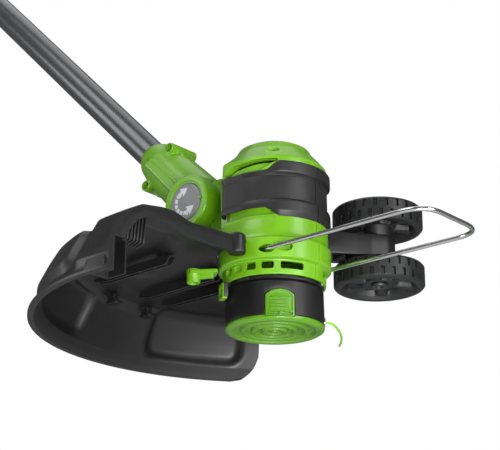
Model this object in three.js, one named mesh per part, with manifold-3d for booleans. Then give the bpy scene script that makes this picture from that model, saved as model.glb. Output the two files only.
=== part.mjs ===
// String trimmer with a tilting motor head, edging wheels and a telescoping shaft.
// Millimetres, +Z up along the spool's axis, +X from the motor towards the front of the wire guard.
// The origin is the centre of the spool cap's bottom face, and y = 0 is the housing's seam.
import * as THREE from "three";
import { mergeVertices } from "three/addons/utils/BufferGeometryUtils.js";
import Module from "manifold-3d";

const wasm = await Module();
wasm.setup();

// Driving dimensions
const GAP = 0.3; // between neighbouring pieces
const SPOOL = { r: 34, top: 29, capR: 34.2, capTop: 3.8, latchAngle: -50, exitAngle: 42, exitZ: 7.2 };
const SKIRT = { r: 35.4, inner: 34, bottom: 31.5 };
const FLANGE = { r: 39.5, bottom: 42.4, top: 57.8 };
const HOUSING = { r: 37.5, bandSeat: 35, bandBottom: 74.2, browBottom: 105.8, bandTop: 112, top: 135.2 };
const BAND = { rim: 39.3, waist: 37.3, lowRimTop: 83.5, highRimBottom: 103.5, rimStart: 27 };
const PIVOT = { x: -60.6, z: 103.1, barrelR: 20.5, earR: 21, inner: 13.7, outer: 28, slope: 44.5 };
const TUBE = { r: 11.5, bore: 10, start: 31, end: 700 };
const COLLAR = { end: 85, bossU: 62, bossN: 17.5 };
const WHEEL = { reach: 80.2, angle: 61.3, r: 32.6, width: 17.6, lowBottom: 39.3, highBottom: 82.1, axleR: 3.8 };
const BRACKET = { r: 11.4, rootFrom: -4, rootTo: 22, bottom: 61, top: 77.6 };
const GUARD = { rimZ: 4.8, inner: 39.8, wall: 2.5, front: 8, farAngle: 133.5 };
const WIRE = { r: 1.6, half: 32.7, front: 147.9, z: 48.2, end: 14 };
const UPPER = { r: 14, bore: 12, start: 560, end: 1190 };
const CLAMP = { start: 540, end: 612, r: 20, leverU: 578, leverN: 25 };
const AUX = { u: 880, n: 31, r: 9, half: 62, top: 128, armY: 17.2 };
const GRIP = { start: 1150, end: 1345, half: 17, tail: 1425 };

const green = [0x82be28, 0.45, 0];
const black = [0x2b2b2d, 0.5, 0];
const steel = [0xb9bcc0, 0.25, 1];
const tubeGrey = [0x505154, 0.35, 0.6];

const root = new THREE.Group();
const head = new THREE.Group();
root.add(head);
// The shaft's own frame: z runs up the tube from the tilt axle, x to its upper front side.
const shaft = new THREE.Group();
shaft.position.set(PIVOT.x, 0, PIVOT.z);
shaft.rotation.y = THREE.MathUtils.degToRad(PIVOT.slope - 90);
root.add(shaft);

// Turns a three.js geometry into a solid with its faces pointing out.
function solid(geometry) {
  const bare = new THREE.BufferGeometry();
  bare.setAttribute("position", geometry.getAttribute("position").clone());
  if (geometry.index) bare.setIndex(geometry.index.clone());
  const merged = mergeVertices(bare, 1e-4);
  const source = merged.index.array;
  const faces = [];
  for (let i = 0; i < source.length; i += 3) {
    const [a, b, c] = source.slice(i, i + 3);
    if (a !== b && b !== c && a !== c) faces.push(a, b, c);
  }
  const build = (triVerts) =>
    new wasm.Manifold(
      new wasm.Mesh({
        numProp: 3,
        vertProperties: new Float32Array(merged.attributes.position.array),
        triVerts: new Uint32Array(triVerts),
      }),
    );
  const made = build(faces);
  return made.volume() >= 0 ? made : build(faces.reverse());
}

function add(parent, name, body, [color, roughness, metalness]) {
  const mesh = body.getMesh();
  const geometry = new THREE.BufferGeometry();
  geometry.setAttribute("position", new THREE.BufferAttribute(new Float32Array(mesh.vertProperties), 3));
  geometry.setIndex(new THREE.BufferAttribute(new Uint32Array(mesh.triVerts), 1));
  geometry.computeVertexNormals();
  const material = new THREE.MeshStandardMaterial({ color, roughness, metalness });
  const piece = new THREE.Mesh(geometry, material);
  piece.name = name;
  parent.add(piece);
}

const join = (...bodies) => bodies.reduce((all, body) => all.add(body));
const cut = (body, ...tools) => tools.reduce((left, tool) => left.subtract(tool), body);

function box(x0, x1, y0, y1, z0, z1) {
  const made = new THREE.BoxGeometry(x1 - x0, y1 - y0, z1 - z0);
  made.translate((x0 + x1) / 2, (y0 + y1) / 2, (z0 + z1) / 2);
  return solid(made);
}

// A body of revolution about z, from a closed profile of [radius, z] pairs.
function turned(profile, segments = 28) {
  const points = profile.map(([r, z]) => new THREE.Vector2(r, z));
  if (profile[0][0] > 0) points.push(points[0].clone());
  const made = new THREE.LatheGeometry(points, segments);
  made.rotateX(Math.PI / 2);
  return solid(made);
}

function rod(r, z0, z1, segments = 20) {
  return turned([[0, z0], [r, z0], [r, z1], [0, z1]], segments);
}

function ring(r0, r1, z0, z1, segments = 28) {
  return turned([[r0, z0], [r1, z0], [r1, z1], [r0, z1]], segments);
}

const moved = (body, x, y, z) => body.translate([x, y, z]);
// A body of revolution about z laid along y, its z becoming y.
const alongY = (body) => body.rotate([-90, 0, 0]);

function outline(points) {
  const shape = new THREE.Shape();
  points.forEach(([x, y], i) => (i ? shape.lineTo(x, y) : shape.moveTo(x, y)));
  return shape;
}

// A closed outline in the xz plane, extruded from y0 to y1.
function slabY(points, y0, y1) {
  const made = new THREE.ExtrudeGeometry(outline(points), { depth: y1 - y0, bevelEnabled: false });
  made.rotateX(Math.PI / 2);
  made.translate(0, y1, 0);
  return solid(made);
}

// A closed outline in the xy plane, extruded from z0 to z1.
function slabZ(points, z0, z1) {
  const made = new THREE.ExtrudeGeometry(outline(points), { depth: z1 - z0, bevelEnabled: false });
  made.translate(0, 0, z0);
  return solid(made);
}

function arc(cx, cy, r, from, to, steps) {
  return Array.from({ length: steps + 1 }, (_, i) => {
    const a = THREE.MathUtils.degToRad(from + ((to - from) * i) / steps);
    return [cx + r * Math.cos(a), cy + r * Math.sin(a)];
  });
}

// A round bar along straight runs whose corners are rounded to the given radius.
function bar(corners, bend, r, sides, steps) {
  const at = corners.map((p) => new THREE.Vector3(...p));
  const path = new THREE.CurvePath();
  let from = at[0];
  for (let i = 1; i < at.length - 1; i++) {
    const back = at[i - 1].clone().sub(at[i]).setLength(bend).add(at[i]);
    const on = at[i + 1].clone().sub(at[i]).setLength(bend).add(at[i]);
    path.add(new THREE.LineCurve3(from, back));
    path.add(new THREE.QuadraticBezierCurve3(back, at[i], on));
    from = on;
  }
  path.add(new THREE.LineCurve3(from, at[at.length - 1]));
  return sweep(path, r, sides, steps);
}

function sweep(path, r, sides, steps) {
  const section = outline(arc(0, 0, r, 0, 360, sides).slice(0, sides));
  return solid(new THREE.ExtrudeGeometry(section, { steps, extrudePath: path, bevelEnabled: false }));
}

// The left half lies at y below the seam, the right half above it.
function halves(body, seam, reach) {
  const side = (y0, y1) => body.intersect(box(-reach, reach, y0, y1, -reach, reach));
  return [side(-reach, -seam / 2), side(seam / 2, reach)];
}

function turnedBy(body, degrees) {
  return body.rotate([0, 0, degrees]);
}

function motorHousing() {
  const { r, bandSeat, bandBottom, browBottom, bandTop, top } = HOUSING;
  const shell = turned([
    [SKIRT.inner, SKIRT.bottom], [SKIRT.r, SKIRT.bottom], [SKIRT.r + 0.6, FLANGE.bottom],
    [FLANGE.r, FLANGE.bottom + 1], [FLANGE.r, FLANGE.top - 1.5], [r, FLANGE.top],
    [r, bandBottom], [bandSeat, bandBottom], [bandSeat, bandTop], [r, bandTop],
    [r - 0.5, 116.6], [31.3, 123.4], [27.6, 127.4], [25.4, 131.6], [20.5, 134.2], [0, top],
    [0, 131.8], [20, 131.2], [28.5, 120.4], [32.4, 112], [32.4, 62], [SKIRT.inner, 60],
  ], 40);
  const neckSide = [
    [-24, 66], [-52, 84.5], ...arc(PIVOT.x, PIVOT.z, PIVOT.barrelR, 300, 60, 10), [-44, 119.5], [-24, 118],
  ];
  const neck = slabY(neckSide, -13.4, 13.4);
  const shoulder = box(-38.3, -24, -24, 24, 64, 116);
  const hollow = rod(33, 20, 110, 40);
  const axleBore = moved(alongY(rod(5.3, -20, 20)), PIVOT.x, 0, PIVOT.z);
  const brow = ring(bandSeat - 1, r + 0.4, browBottom, bandTop + 0.2, 40).subtract(
    box(BAND.rimStart, 60, -60, 60, 90, 130),
  );
  const windows = [-1, 1].flatMap((side) =>
    [[30.3, 8.2], [57.5, 4.2], [76.5, 3.7], [93.4, 3.7], [110, 3.7]].map(([angle, half]) =>
      turnedBy(box(30, 42, -half, half, 35.2, 40.4), side * angle),
    ),
  );
  const vents = [-1, 1].map((side) => turnedBy(box(26, 42, -11, 11, 108.5, 111.4), side * 96));
  const wireSlots = [-1, 1].map((side) =>
    box(-10, 45, side * WIRE.half - 2.4, side * WIRE.half + 2.4, WIRE.z - 2.6, WIRE.z + 2.6),
  );
  const body = cut(
    join(shell, brow, neck.subtract(hollow), shoulder.subtract(hollow)),
    axleBore, ...windows, ...vents, ...wireSlots,
  );
  const [left, right] = halves(body, GAP, 200);
  add(head, "housing_left", left, green);
  add(head, "housing_right", right, green);
}

function housingBand() {
  const z0 = HOUSING.bandBottom + GAP;
  const z1 = HOUSING.bandTop - GAP;
  const full = turned([
    [HOUSING.bandSeat + GAP, z0], [BAND.rim, z0], [BAND.rim, BAND.lowRimTop], [BAND.waist, BAND.lowRimTop + 1],
    [BAND.waist, BAND.highRimBottom - 1], [BAND.rim, BAND.highRimBottom], [BAND.rim, z1],
    [HOUSING.bandSeat + GAP, z1],
  ], 40);
  const backGap = box(-80, -18, -60, 60, 60, 120);
  const browSpace = box(-80, BAND.rimStart + GAP, -60, 60, HOUSING.browBottom - GAP, 120);
  const [left, right] = halves(cut(full, backGap, browSpace), GAP, 200);
  add(head, "band_left", left, black);
  add(head, "band_right", right, black);
}

function motor() {
  const can = turned([[2.9, 61], [10, 61], [10, 63], [21, 63], [21, 116], [8, 116], [8, 118], [2.9, 118]], 28);
  add(head, "motor_can", can, steel);
  add(head, "motor_plate", ring(10.5, 32, 59.9, 62.2, 28), black);
  add(head, "drive_shaft", rod(2.5, 26.8, 119.5, 14), steel);
}

function guard() {
  const { inner, wall, rimZ, front } = GUARD;
  const shell = turned([
    [inner, 56], [60, 55.4], [120, 52], [136, 49.4], [146, 43.6], [153, 31], [161, 14], [165.5, 6.6],
    [168, 6.8], [168, rimZ], [163.8, rimZ], [158.4, 13.4], [150.4, 30], [143.6, 42],
    [134.8, 47], [119.7, 49.5], [60, 55.4 - wall], [inner, 56 - wall],
  ], 48);
  const far = THREE.MathUtils.degToRad(GUARD.farAngle);
  const reach = 300;
  const sector = slabZ([
    [front, -reach], [front, -30], [-14, 0],
    [reach * Math.cos(far), reach * Math.sin(far)], [-reach, 0], [-reach, -reach],
  ], -5, 80);
  const frontWall = slabZ([[front - 3, -52], [front - 3, -140], [front, -140], [front, -52]], 44, 50.6);
  const post = moved(rod(7, 40.5, 57, 16), front, -52, 0);
  const ribs = [-57, -9, 17].map((y) =>
    box(-116, -42, y - 1.2, y + 1.2, 38, 51).subtract(rod(44, 30, 60, 24)),
  );
  const comb = [0, 1, 2, 3, 4].map((i) => box(-6, 2, -129 - 4.2 * i, -127.4 - 4.2 * i, 27, 49));
  const cutterBlock = box(-12, 5, -159, -142.4, 6, 30);
  const cutterPocket = box(-9.3, 9, -156.4, -144.6, -1, 27);
  const body = join(shell.intersect(sector), frontWall, post, ...ribs, ...comb, cutterBlock);
  add(head, "guard", cut(body, rod(inner, 0, 80, 40), cutterPocket), black);
  add(head, "cutter_blade", box(-9, 3, -142.1, -140.9, 9, 27), steel);
  [13, 23].forEach((z, i) => {
    add(head, `blade_screw_${i + 1}`, moved(alongY(rod(1.6, 0, 1.6, 10)), -6, -140.6, z), steel);
  });
}

function guardBracket() {
  const arm = slabZ([[-22, -35.5], [-29, -29.5], [-42, -40], [-36, -46]], 43.8, 46.6);
  const boss = moved(rod(5, 36, 46.6, 14), -38, -41.5, 0);
  const bore = moved(rod(2.4, 30, 43, 12), -38, -41.5, 0);
  add(head, "guard_bracket", cut(join(arm, boss), bore, rod(SKIRT.r + 1.4, 0, 60, 40)), green);
  add(head, "guard_screw", moved(rod(2, 37.5, 42.6, 10), -38, -41.5, 0), steel);
  const tab = turnedBy(box(35.8, 38.6, -3.6, 3.6, 20, 31), -118.5);
  add(head, "skirt_tab", tab, green);
  add(head, "skirt_tab_plate", turnedBy(box(35.9, 38.2, 4, 5.2, 21, 31), -118.5), steel);
}

// The bracket is drawn along +x and turned to its own side of the housing.
function wheels() {
  const { reach, angle, width, lowBottom, highBottom, axleR } = WHEEL;
  const { rootFrom, rootTo, bottom, top } = BRACKET;
  const plan = [[31, rootFrom], ...arc(reach, 0, BRACKET.r, -80, 80, 10), [31, rootTo]];
  const arm = slabZ(plan, bottom, top);
  const bore = moved(rod(axleR + 0.3, 0, 120), reach, 0, 0);
  const seat = join(rod(HOUSING.r + GAP, 50, 72, 40), rod(BAND.rim + GAP, 71, 100, 40));
  add(head, "wheel_bracket", turnedBy(cut(arm, bore, seat), angle), black);
  const lowSeat = lowBottom + 4;
  const highSeat = highBottom + width - 4;
  const axle = join(rod(axleR, lowSeat, highSeat), rod(6, lowSeat - 2.2, lowSeat), rod(6, highSeat, highSeat + 2.2));
  add(head, "wheel_axle", turnedBy(moved(axle, reach, 0, 0), angle), steel);
  wheel("wheel_lower", lowBottom, [lowSeat + GAP, bottom - GAP], lowBottom + 5.5);
  wheel("wheel_upper", highBottom, [top + GAP, highSeat - GAP], highBottom + 5.5);
}

// A tread ring, a dished web and a hub of its own height.
function wheel(name, bottom, [hubLow, hubHigh], webLow) {
  const { reach, angle, r, width, axleR } = WHEEL;
  const top = bottom + width;
  const tread = turned([
    [25.4, bottom], [30.2, bottom], [r, bottom + 3.6], [r, top - 3.6], [30.2, top], [25.4, top],
  ], 32);
  const web = ring(8, 26.2, webLow, webLow + 4, 28);
  const hub = ring(axleR + 0.25, 9, hubLow, hubHigh, 20);
  add(head, name, turnedBy(moved(join(tread, web, hub), reach, 0, 0), angle), black);
}

function wireGuard() {
  const { half, front, z, end, r } = WIRE;
  const loop = [[end, -half, z], [front, -half, z], [front, half, z], [end, half, z]];
  add(head, "wire_guard", bar(loop, 17, r, 8, 30), steel);
}

function spool() {
  const { r, top, capR, capTop, latchAngle, exitAngle, exitZ } = SPOOL;
  const latches = [latchAngle, latchAngle + 180];
  const cup = turned([
    [30.6, capTop + GAP], [r, capTop + GAP], [r, top], [5.6, top], [5.6, top - 2.4], [30.6, top - 2.4],
  ], 36);
  const exit = turnedBy(moved(rod(3.4, 0, 12, 14).rotate([0, 90, 0]), 26, 0, exitZ + 0.4), exitAngle);
  const windows = latches.map((angle) => turnedBy(box(28, 36, -8.1, 8.1, 3, 20.4), angle));
  add(head, "spool_housing", cut(cup, exit, ...windows), black);

  const cap = turned([
    [0, 0], [7, 0], [8, 1.2], [19, 1.2], [20, 0.3], [24, 0.3], [25, 1.2], [29, 1.2], [30, 0], [32.6, 0],
    [capR, 1.6], [capR, capTop], [30, capTop], [30, 9.5], [28, 9.5], [28, 3.2], [0, 3.2],
  ], 32);
  const capCuts = latches.map((angle) => turnedBy(box(27, 36, -8.1, 8.1, 0.9, 12), angle));
  const capExit = turnedBy(box(26, 32, -3.2, 3.2, capTop + 0.01, 12), exitAngle);
  add(head, "spool_cap", cut(cap, ...capCuts, capExit), green);
  latches.forEach((angle, i) => {
    const tab = join(
      box(31.2, 34.6, -7.7, 7.7, 1.2, 16.5),
      slabZ([[31.2, -5.5], [34.6, -5.5], [34.6, 5.5], [31.2, 5.5]], 16.4, 19.6),
    );
    const ribs = [6, 8.6, 11.2, 13.8].map((z) => box(34.5, 35.2, -5, 5, z, z + 1));
    add(head, i ? "cap_latch_far" : "cap_latch_near", turnedBy(join(tab, ...ribs), angle), green);
  });
  const bobbin = turned([
    [5.6, 10.6], [26.8, 10.6], [26.8, 12.2], [11, 12.2], [11, 23.6], [26.8, 23.6], [26.8, 25.2], [5.6, 25.2],
  ], 28);
  add(head, "bobbin", bobbin, black);
  add(head, "wound_line", ring(11.3, 24.4, 12.5, 23.3, 28), green);
  const coil = new THREE.CatmullRomCurve3(
    Array.from({ length: 25 }, (_, i) => {
      const a = (i / 24) * Math.PI * 4;
      return new THREE.Vector3(8 * Math.cos(a), 8 * Math.sin(a), 4.4 + (i / 24) * 5.1);
    }),
  );
  add(head, "spool_spring", sweep(coil, 0.6, 5, 36), steel);
  const hub = cut(
    join(ring(2.8, 5.2, 12, 36, 20), ring(2.8, 14, 30, 31, 24)),
    rod(2.8, 10, 40, 20),
  );
  add(head, "spool_hub", hub, black);
  const vanes = Array.from({ length: 8 }, (_, i) => turnedBy(box(20, 32.6, -0.8, 0.8, 31.5, 37), i * 45));
  add(head, "fan_disc", join(ring(14.4, 33.4, 29.4, 31.6, 36), ...vanes), black);
  const eyelet = turnedBy(moved(ring(1.5, 3.1, 0, 3.4, 14).rotate([0, 90, 0]), 30.9, 0, exitZ + 0.4), exitAngle);
  add(head, "line_eyelet", eyelet, steel);
  const route = [
    [25.7, 23.2, 7.5], [27.6, 26.1, 7.4], [27.6, 30.2, 7.1], [26, 34.8, 6.8], [23.4, 41.1, 6.3], [20.6, 46.8, 5.7],
    [17.4, 52.1, 5], [13.6, 57.2, 4.4], [9.4, 62, 3.8], [5, 66, 3.2],
  ].map((p) => new THREE.Vector3(...p));
  add(head, "cutting_line", sweep(new THREE.CatmullRomCurve3(route), 0.8, 8, 16), green);
}

function collar() {
  const { end, bossU, bossN } = COLLAR;
  const sleeve = turned([
    [0, 12], [20.4, 12], [19, 34], [16.5, 58], [14.6, 76], [13.2, end], [0, end],
  ], 28);
  const ears = alongY(rod(PIVOT.earR, -PIVOT.outer, PIVOT.outer, 32));
  const bosses = [-1, 1].map((side) =>
    moved(alongY(rod(4.2, -13.5, 13.5, 14)), side * bossN, 0, bossU),
  );
  const fork = join(
    alongY(rod(22.3, -PIVOT.inner, PIVOT.inner, 32)),
    box(-24, 24, -PIVOT.inner, PIVOT.inner, -24, 6),
  );
  const tubeBore = rod(TUBE.r + GAP, TUBE.start - GAP, end + 1, 28);
  const lead = rod(6, 20, 40, 12);
  const axleBore = alongY(rod(5.3, -14.8, 26.4, 20));
  const buttonSeat = alongY(rod(14.6, -PIVOT.outer - 1, -15.4, 28));
  const screwBores = [-1, 1].map((side) =>
    moved(alongY(rod(2.4, -14, 8, 12)), side * bossN, 0, bossU),
  );
  const body = cut(join(sleeve, ears, ...bosses), fork, tubeBore, lead, axleBore, buttonSeat, ...screwBores);
  const [left, right] = halves(body, GAP, 100);
  add(shaft, "collar_left", left, green);
  add(shaft, "collar_right", right, green);
  add(shaft, "tilt_button", alongY(rod(14.2, -PIVOT.outer - 0.6, -18.8, 28)), [0x7d7d7d, 0.5, 0]);
  add(shaft, "tilt_axle", alongY(rod(5, -14.4, 26, 20)), steel);
  [-1, 1].forEach((side, i) => {
    const screw = moved(alongY(rod(2.1, -12.6, 6, 10)), side * bossN, 0, bossU);
    add(shaft, `collar_screw_${i + 1}`, screw, steel);
  });
}

function tubes() {
  add(shaft, "lower_tube", ring(TUBE.bore, TUBE.r, TUBE.start, TUBE.end, 32), tubeGrey);
  add(shaft, "lead_in_tube", rod(5, TUBE.start + 4, TUBE.end - 4, 10), black);
  add(shaft, "coupler_plug", ring(6, UPPER.bore - GAP, TUBE.end + GAP, TUBE.end + 14, 28), black);
  add(shaft, "upper_tube", ring(UPPER.bore, UPPER.r, UPPER.start, UPPER.end, 32), tubeGrey);
}

function tubeClamp() {
  const { start, end, r, leverU, leverN } = CLAMP;
  const sleeve = turned([
    [TUBE.r + GAP, start], [16, start], [r, start + 8], [r, end - 8], [17, end],
    [UPPER.r + GAP, end], [UPPER.r + GAP, UPPER.start - GAP], [TUBE.r + GAP, UPPER.start - GAP],
  ], 32);
  const lugs = [-1, 1].map((side) =>
    slabY([[15, leverU - 12], [leverN + 5, leverU - 5], [leverN + 5, leverU + 5], [15, leverU + 12]],
      side > 0 ? 8 : -12, side > 0 ? 12 : -8),
  );
  const pinBore = moved(alongY(rod(2.8, -20, 20, 14)), leverN, 0, leverU);
  const bore = rod(UPPER.r + GAP, UPPER.start - GAP, end + 1, 32);
  add(shaft, "clamp_body", cut(join(sleeve, ...lugs.map((lug) => lug.subtract(bore))), pinBore), black);
  add(shaft, "lever_pin", moved(alongY(rod(2.5, -12, 12, 14)), leverN, 0, leverU), steel);
  const leverSide = [
    ...arc(leverN, leverU, 4.4, 250, 110, 8), [23, leverU + 26], [22.4, leverU + 52], [27, leverU + 54],
    [29.6, leverU + 26], ...arc(leverN, leverU, 4.4, 40, -60, 6),
  ];
  add(shaft, "clamp_lever", slabY(leverSide, -7.6, 7.6).subtract(pinBore), green);
}

function auxiliaryHandle() {
  const { u, n, r, half, top, armY } = AUX;
  const sleeve = ring(UPPER.r + GAP, 21, u - 20, u + 20, 32);
  const tower = slabY([[16, u - 13], [n + 2, u - 9], ...arc(n, u, 9, -60, 60, 8), [n + 2, u + 9], [16, u + 13]],
    -14, 14);
  const bolt = moved(alongY(rod(3.3, -30, 30, 14)), n, 0, u);
  const tubeSpace = rod(UPPER.r + GAP, u - 30, u + 30, 32);
  add(shaft, "aux_clamp", cut(join(sleeve, tower), bolt, tubeSpace), black);
  const foot = n + 30;
  const loop = bar([
    [foot, -armY, u + 8], [foot, -half, u + 12], [top, 12 - half, u + 34],
    [top, half - 12, u + 34], [foot, half, u + 12], [foot, armY, u + 8],
  ], 20, r, 8, 30);
  const armSide = [...arc(n, u, 11, 120, 300, 8), [foot + 2, u + 1], [foot + 4, u + 15], [foot - 4, u + 16]];
  const arms = [-1, 1].map((side) => slabY(armSide, side * armY - 2.7, side * armY + 2.7));
  add(shaft, "aux_handle", cut(join(loop, ...arms), bolt), black);
  const bolts = join(alongY(rod(3, -22, 31, 14)), alongY(rod(6.5, -24.5, -20.3, 6)));
  add(shaft, "aux_bolt", moved(bolts, n, 0, u), steel);
  const lobes = Array.from({ length: 6 }, (_, i) => moved(rod(3.6, 21, 33, 10), 9.5, 0, 0).rotate([0, 0, i * 60]));
  const knob = cut(join(rod(10, 20.3, 33, 20), ...lobes), rod(3.3, 0, 31.4, 14));
  add(shaft, "aux_knob", moved(alongY(knob), n, 0, u), black);
}

function rearHandle() {
  const { start, end, half, tail } = GRIP;
  const side = [
    [-19, start], [19, start], [19, 1200], [25, 1214], [25, 1240], [20, 1256], [20, 1326], [30, end],
    [38, end + 6], [38, tail], [-44, tail], [-44, end], [-34, 1332], [-24, 1322], [-17, 1300],
    [-17, 1240], [-26, 1222], [-26, 1206], [-19, 1196],
  ];
  const body = join(slabY(side, -half, half), box(-44, 38, -36, 36, end, tail));
  const tubeSeat = rod(UPPER.r + GAP, start - 1, UPPER.end + GAP, 32);
  const cavity = box(-12, 14, -12, 12, UPPER.end + 6, end - 6);
  const pocket = box(-36.4, 30.4, -29.4, 29.4, end + 5, tail + 1);
  const triggerSlot = box(-40, -11, -7.4, 7.4, 1226, 1288);
  const buttonHole = box(12, 40, -6.4, 6.4, 1216, 1238);
  const buttonPocket = box(8, 18.4, -8.6, 8.6, 1215.6, 1238.4);
  const plugHole = box(-8, 8, -8, 8, end - 8, end + 6);
  const latchSlot = box(28, 42, -9, 9, end + 40, tail + 1);
  const shell = cut(body, tubeSeat, cavity, pocket, triggerSlot, buttonHole, buttonPocket, plugHole, latchSlot,
    rod(6, UPPER.end - 2, UPPER.end + 8, 12));
  const [left, right] = halves(shell, GAP, 2000);
  add(shaft, "handle_left", left, green);
  add(shaft, "handle_right", right, green);
  const triggerSide = [
    [-11.6, 1228], [-17, 1226.6], [-27, 1234], [-29, 1246], [-24.5, 1262], [-26, 1276], [-22, 1284],
    [-15, 1282], [-12.4, 1270],
  ];
  add(shaft, "trigger", slabY(triggerSide, -7, 7), black);
  add(shaft, "trigger_switch", box(-6, 8, -8, 8, 1250, 1284), black);
  const button = join(box(14.6, 28, -6, 6, 1217, 1237), box(14.6, 18, -8, 8, 1217, 1237));
  add(shaft, "lock_off_button", button, black);
}

function battery() {
  const { end, tail } = GRIP;
  const pack = join(
    box(-36, 30, -29, 29, end + 14, tail + 36),
    box(-40, 34, -33, 33, tail + GAP, tail + 36),
  );
  const latchHole = box(26, 40, -8.4, 8.4, tail + 4, tail + 22);
  const slots = box(-14, 14, -11, 11, end + 13, end + 24);
  add(shaft, "battery_pack", cut(pack, latchHole, slots), black);
  add(shaft, "battery_latch", box(29.2, 36.4, -8, 8, tail + 4.4, tail + 21.6), green);
  const block = join(box(-10, 10, -20, 20, end + 5.3, end + 9), box(-9, 9, -8, 8, end + 8.9, end + 20));
  add(shaft, "terminal_block", block, black);
}

motorHousing();
housingBand();
motor();
guard();
guardBracket();
wheels();
wireGuard();
spool();
collar();
tubes();
tubeClamp();
auxiliaryHandle();
rearHandle();
battery();

export default root;
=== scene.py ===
"""A string trimmer with a tilting motor head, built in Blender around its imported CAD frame.

Sizes are in millimetres and are turned into metres when a mesh is made, except for the camera, the floor,
the lamps and the line's route, which are in metres. The head's frame is the CAD frame: +Z up along the
spool's axis, +X from the motor to the front of the wire guard. The shaft has a frame of its own, (n, y, u),
whose u runs up the tube from the tilt axle.
"""
import math

import bmesh
import bpy
from mathutils import Matrix, Vector


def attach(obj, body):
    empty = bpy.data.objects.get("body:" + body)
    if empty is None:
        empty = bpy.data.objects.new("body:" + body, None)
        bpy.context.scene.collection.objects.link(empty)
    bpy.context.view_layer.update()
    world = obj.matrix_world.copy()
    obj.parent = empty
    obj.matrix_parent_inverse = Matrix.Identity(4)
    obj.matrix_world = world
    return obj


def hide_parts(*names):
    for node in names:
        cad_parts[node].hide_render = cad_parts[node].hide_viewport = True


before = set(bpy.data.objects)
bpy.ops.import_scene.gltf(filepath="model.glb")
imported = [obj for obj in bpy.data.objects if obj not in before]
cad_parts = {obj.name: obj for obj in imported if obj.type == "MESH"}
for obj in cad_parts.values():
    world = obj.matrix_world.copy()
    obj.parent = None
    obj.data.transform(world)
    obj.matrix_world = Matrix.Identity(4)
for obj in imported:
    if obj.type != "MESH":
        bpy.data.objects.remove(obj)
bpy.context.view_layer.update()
MM = 0.001
scene = bpy.context.scene

# ---------------------------------------------------------------- camera
AZIMUTH, ELEVATION, ROLL = math.radians(39.99), math.radians(-15.24), math.radians(-0.23)
DISTANCE = 0.9523  # from the camera to the frame's origin
PAN, TILT = math.radians(1.0068), math.radians(4.4596)  # off the origin
LENS, SENSOR = 99.89, 36.0


def make_camera():
    back = Vector((
        math.sin(AZIMUTH) * math.cos(ELEVATION),
        -math.cos(AZIMUTH) * math.cos(ELEVATION),
        math.sin(ELEVATION),
    ))
    right = Vector((math.cos(AZIMUTH), math.sin(AZIMUTH), 0))
    axes = [right, back.cross(right), back]
    place = back * DISTANCE
    for angle, about in ((PAN, 1), (TILT, 0), (ROLL, 2)):
        turn = Matrix.Rotation(angle, 3, axes[about])
        axes = [turn @ a for a in axes]
    data = bpy.data.cameras.new("camera")
    data.lens = LENS
    data.sensor_width = SENSOR
    data.clip_start = 0.02
    data.clip_end = 50
    camera = bpy.data.objects.new("camera", data)
    camera.matrix_world = Matrix.Translation(place) @ Matrix(axes).transposed().to_4x4()
    scene.collection.objects.link(camera)
    scene.camera = camera


make_camera()


def node(tree, kind, inputs=(), **settings):
    made = tree.nodes.new("ShaderNode" + kind)
    for key, value in settings.items():
        setattr(made, key, value)
    for key, value in dict(inputs).items():
        made.inputs[key].default_value = value
    return made


def shades(rgb, spread):
    """A darker and a lighter version of an sRGB colour, as linear RGBA."""
    linear = [((c / 255 + 0.055) / 1.055) ** 2.4 for c in rgb]
    return [tuple(min(1, c * k) for c in linear) + (1,) for k in (1 - spread, 1 + spread)]


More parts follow.
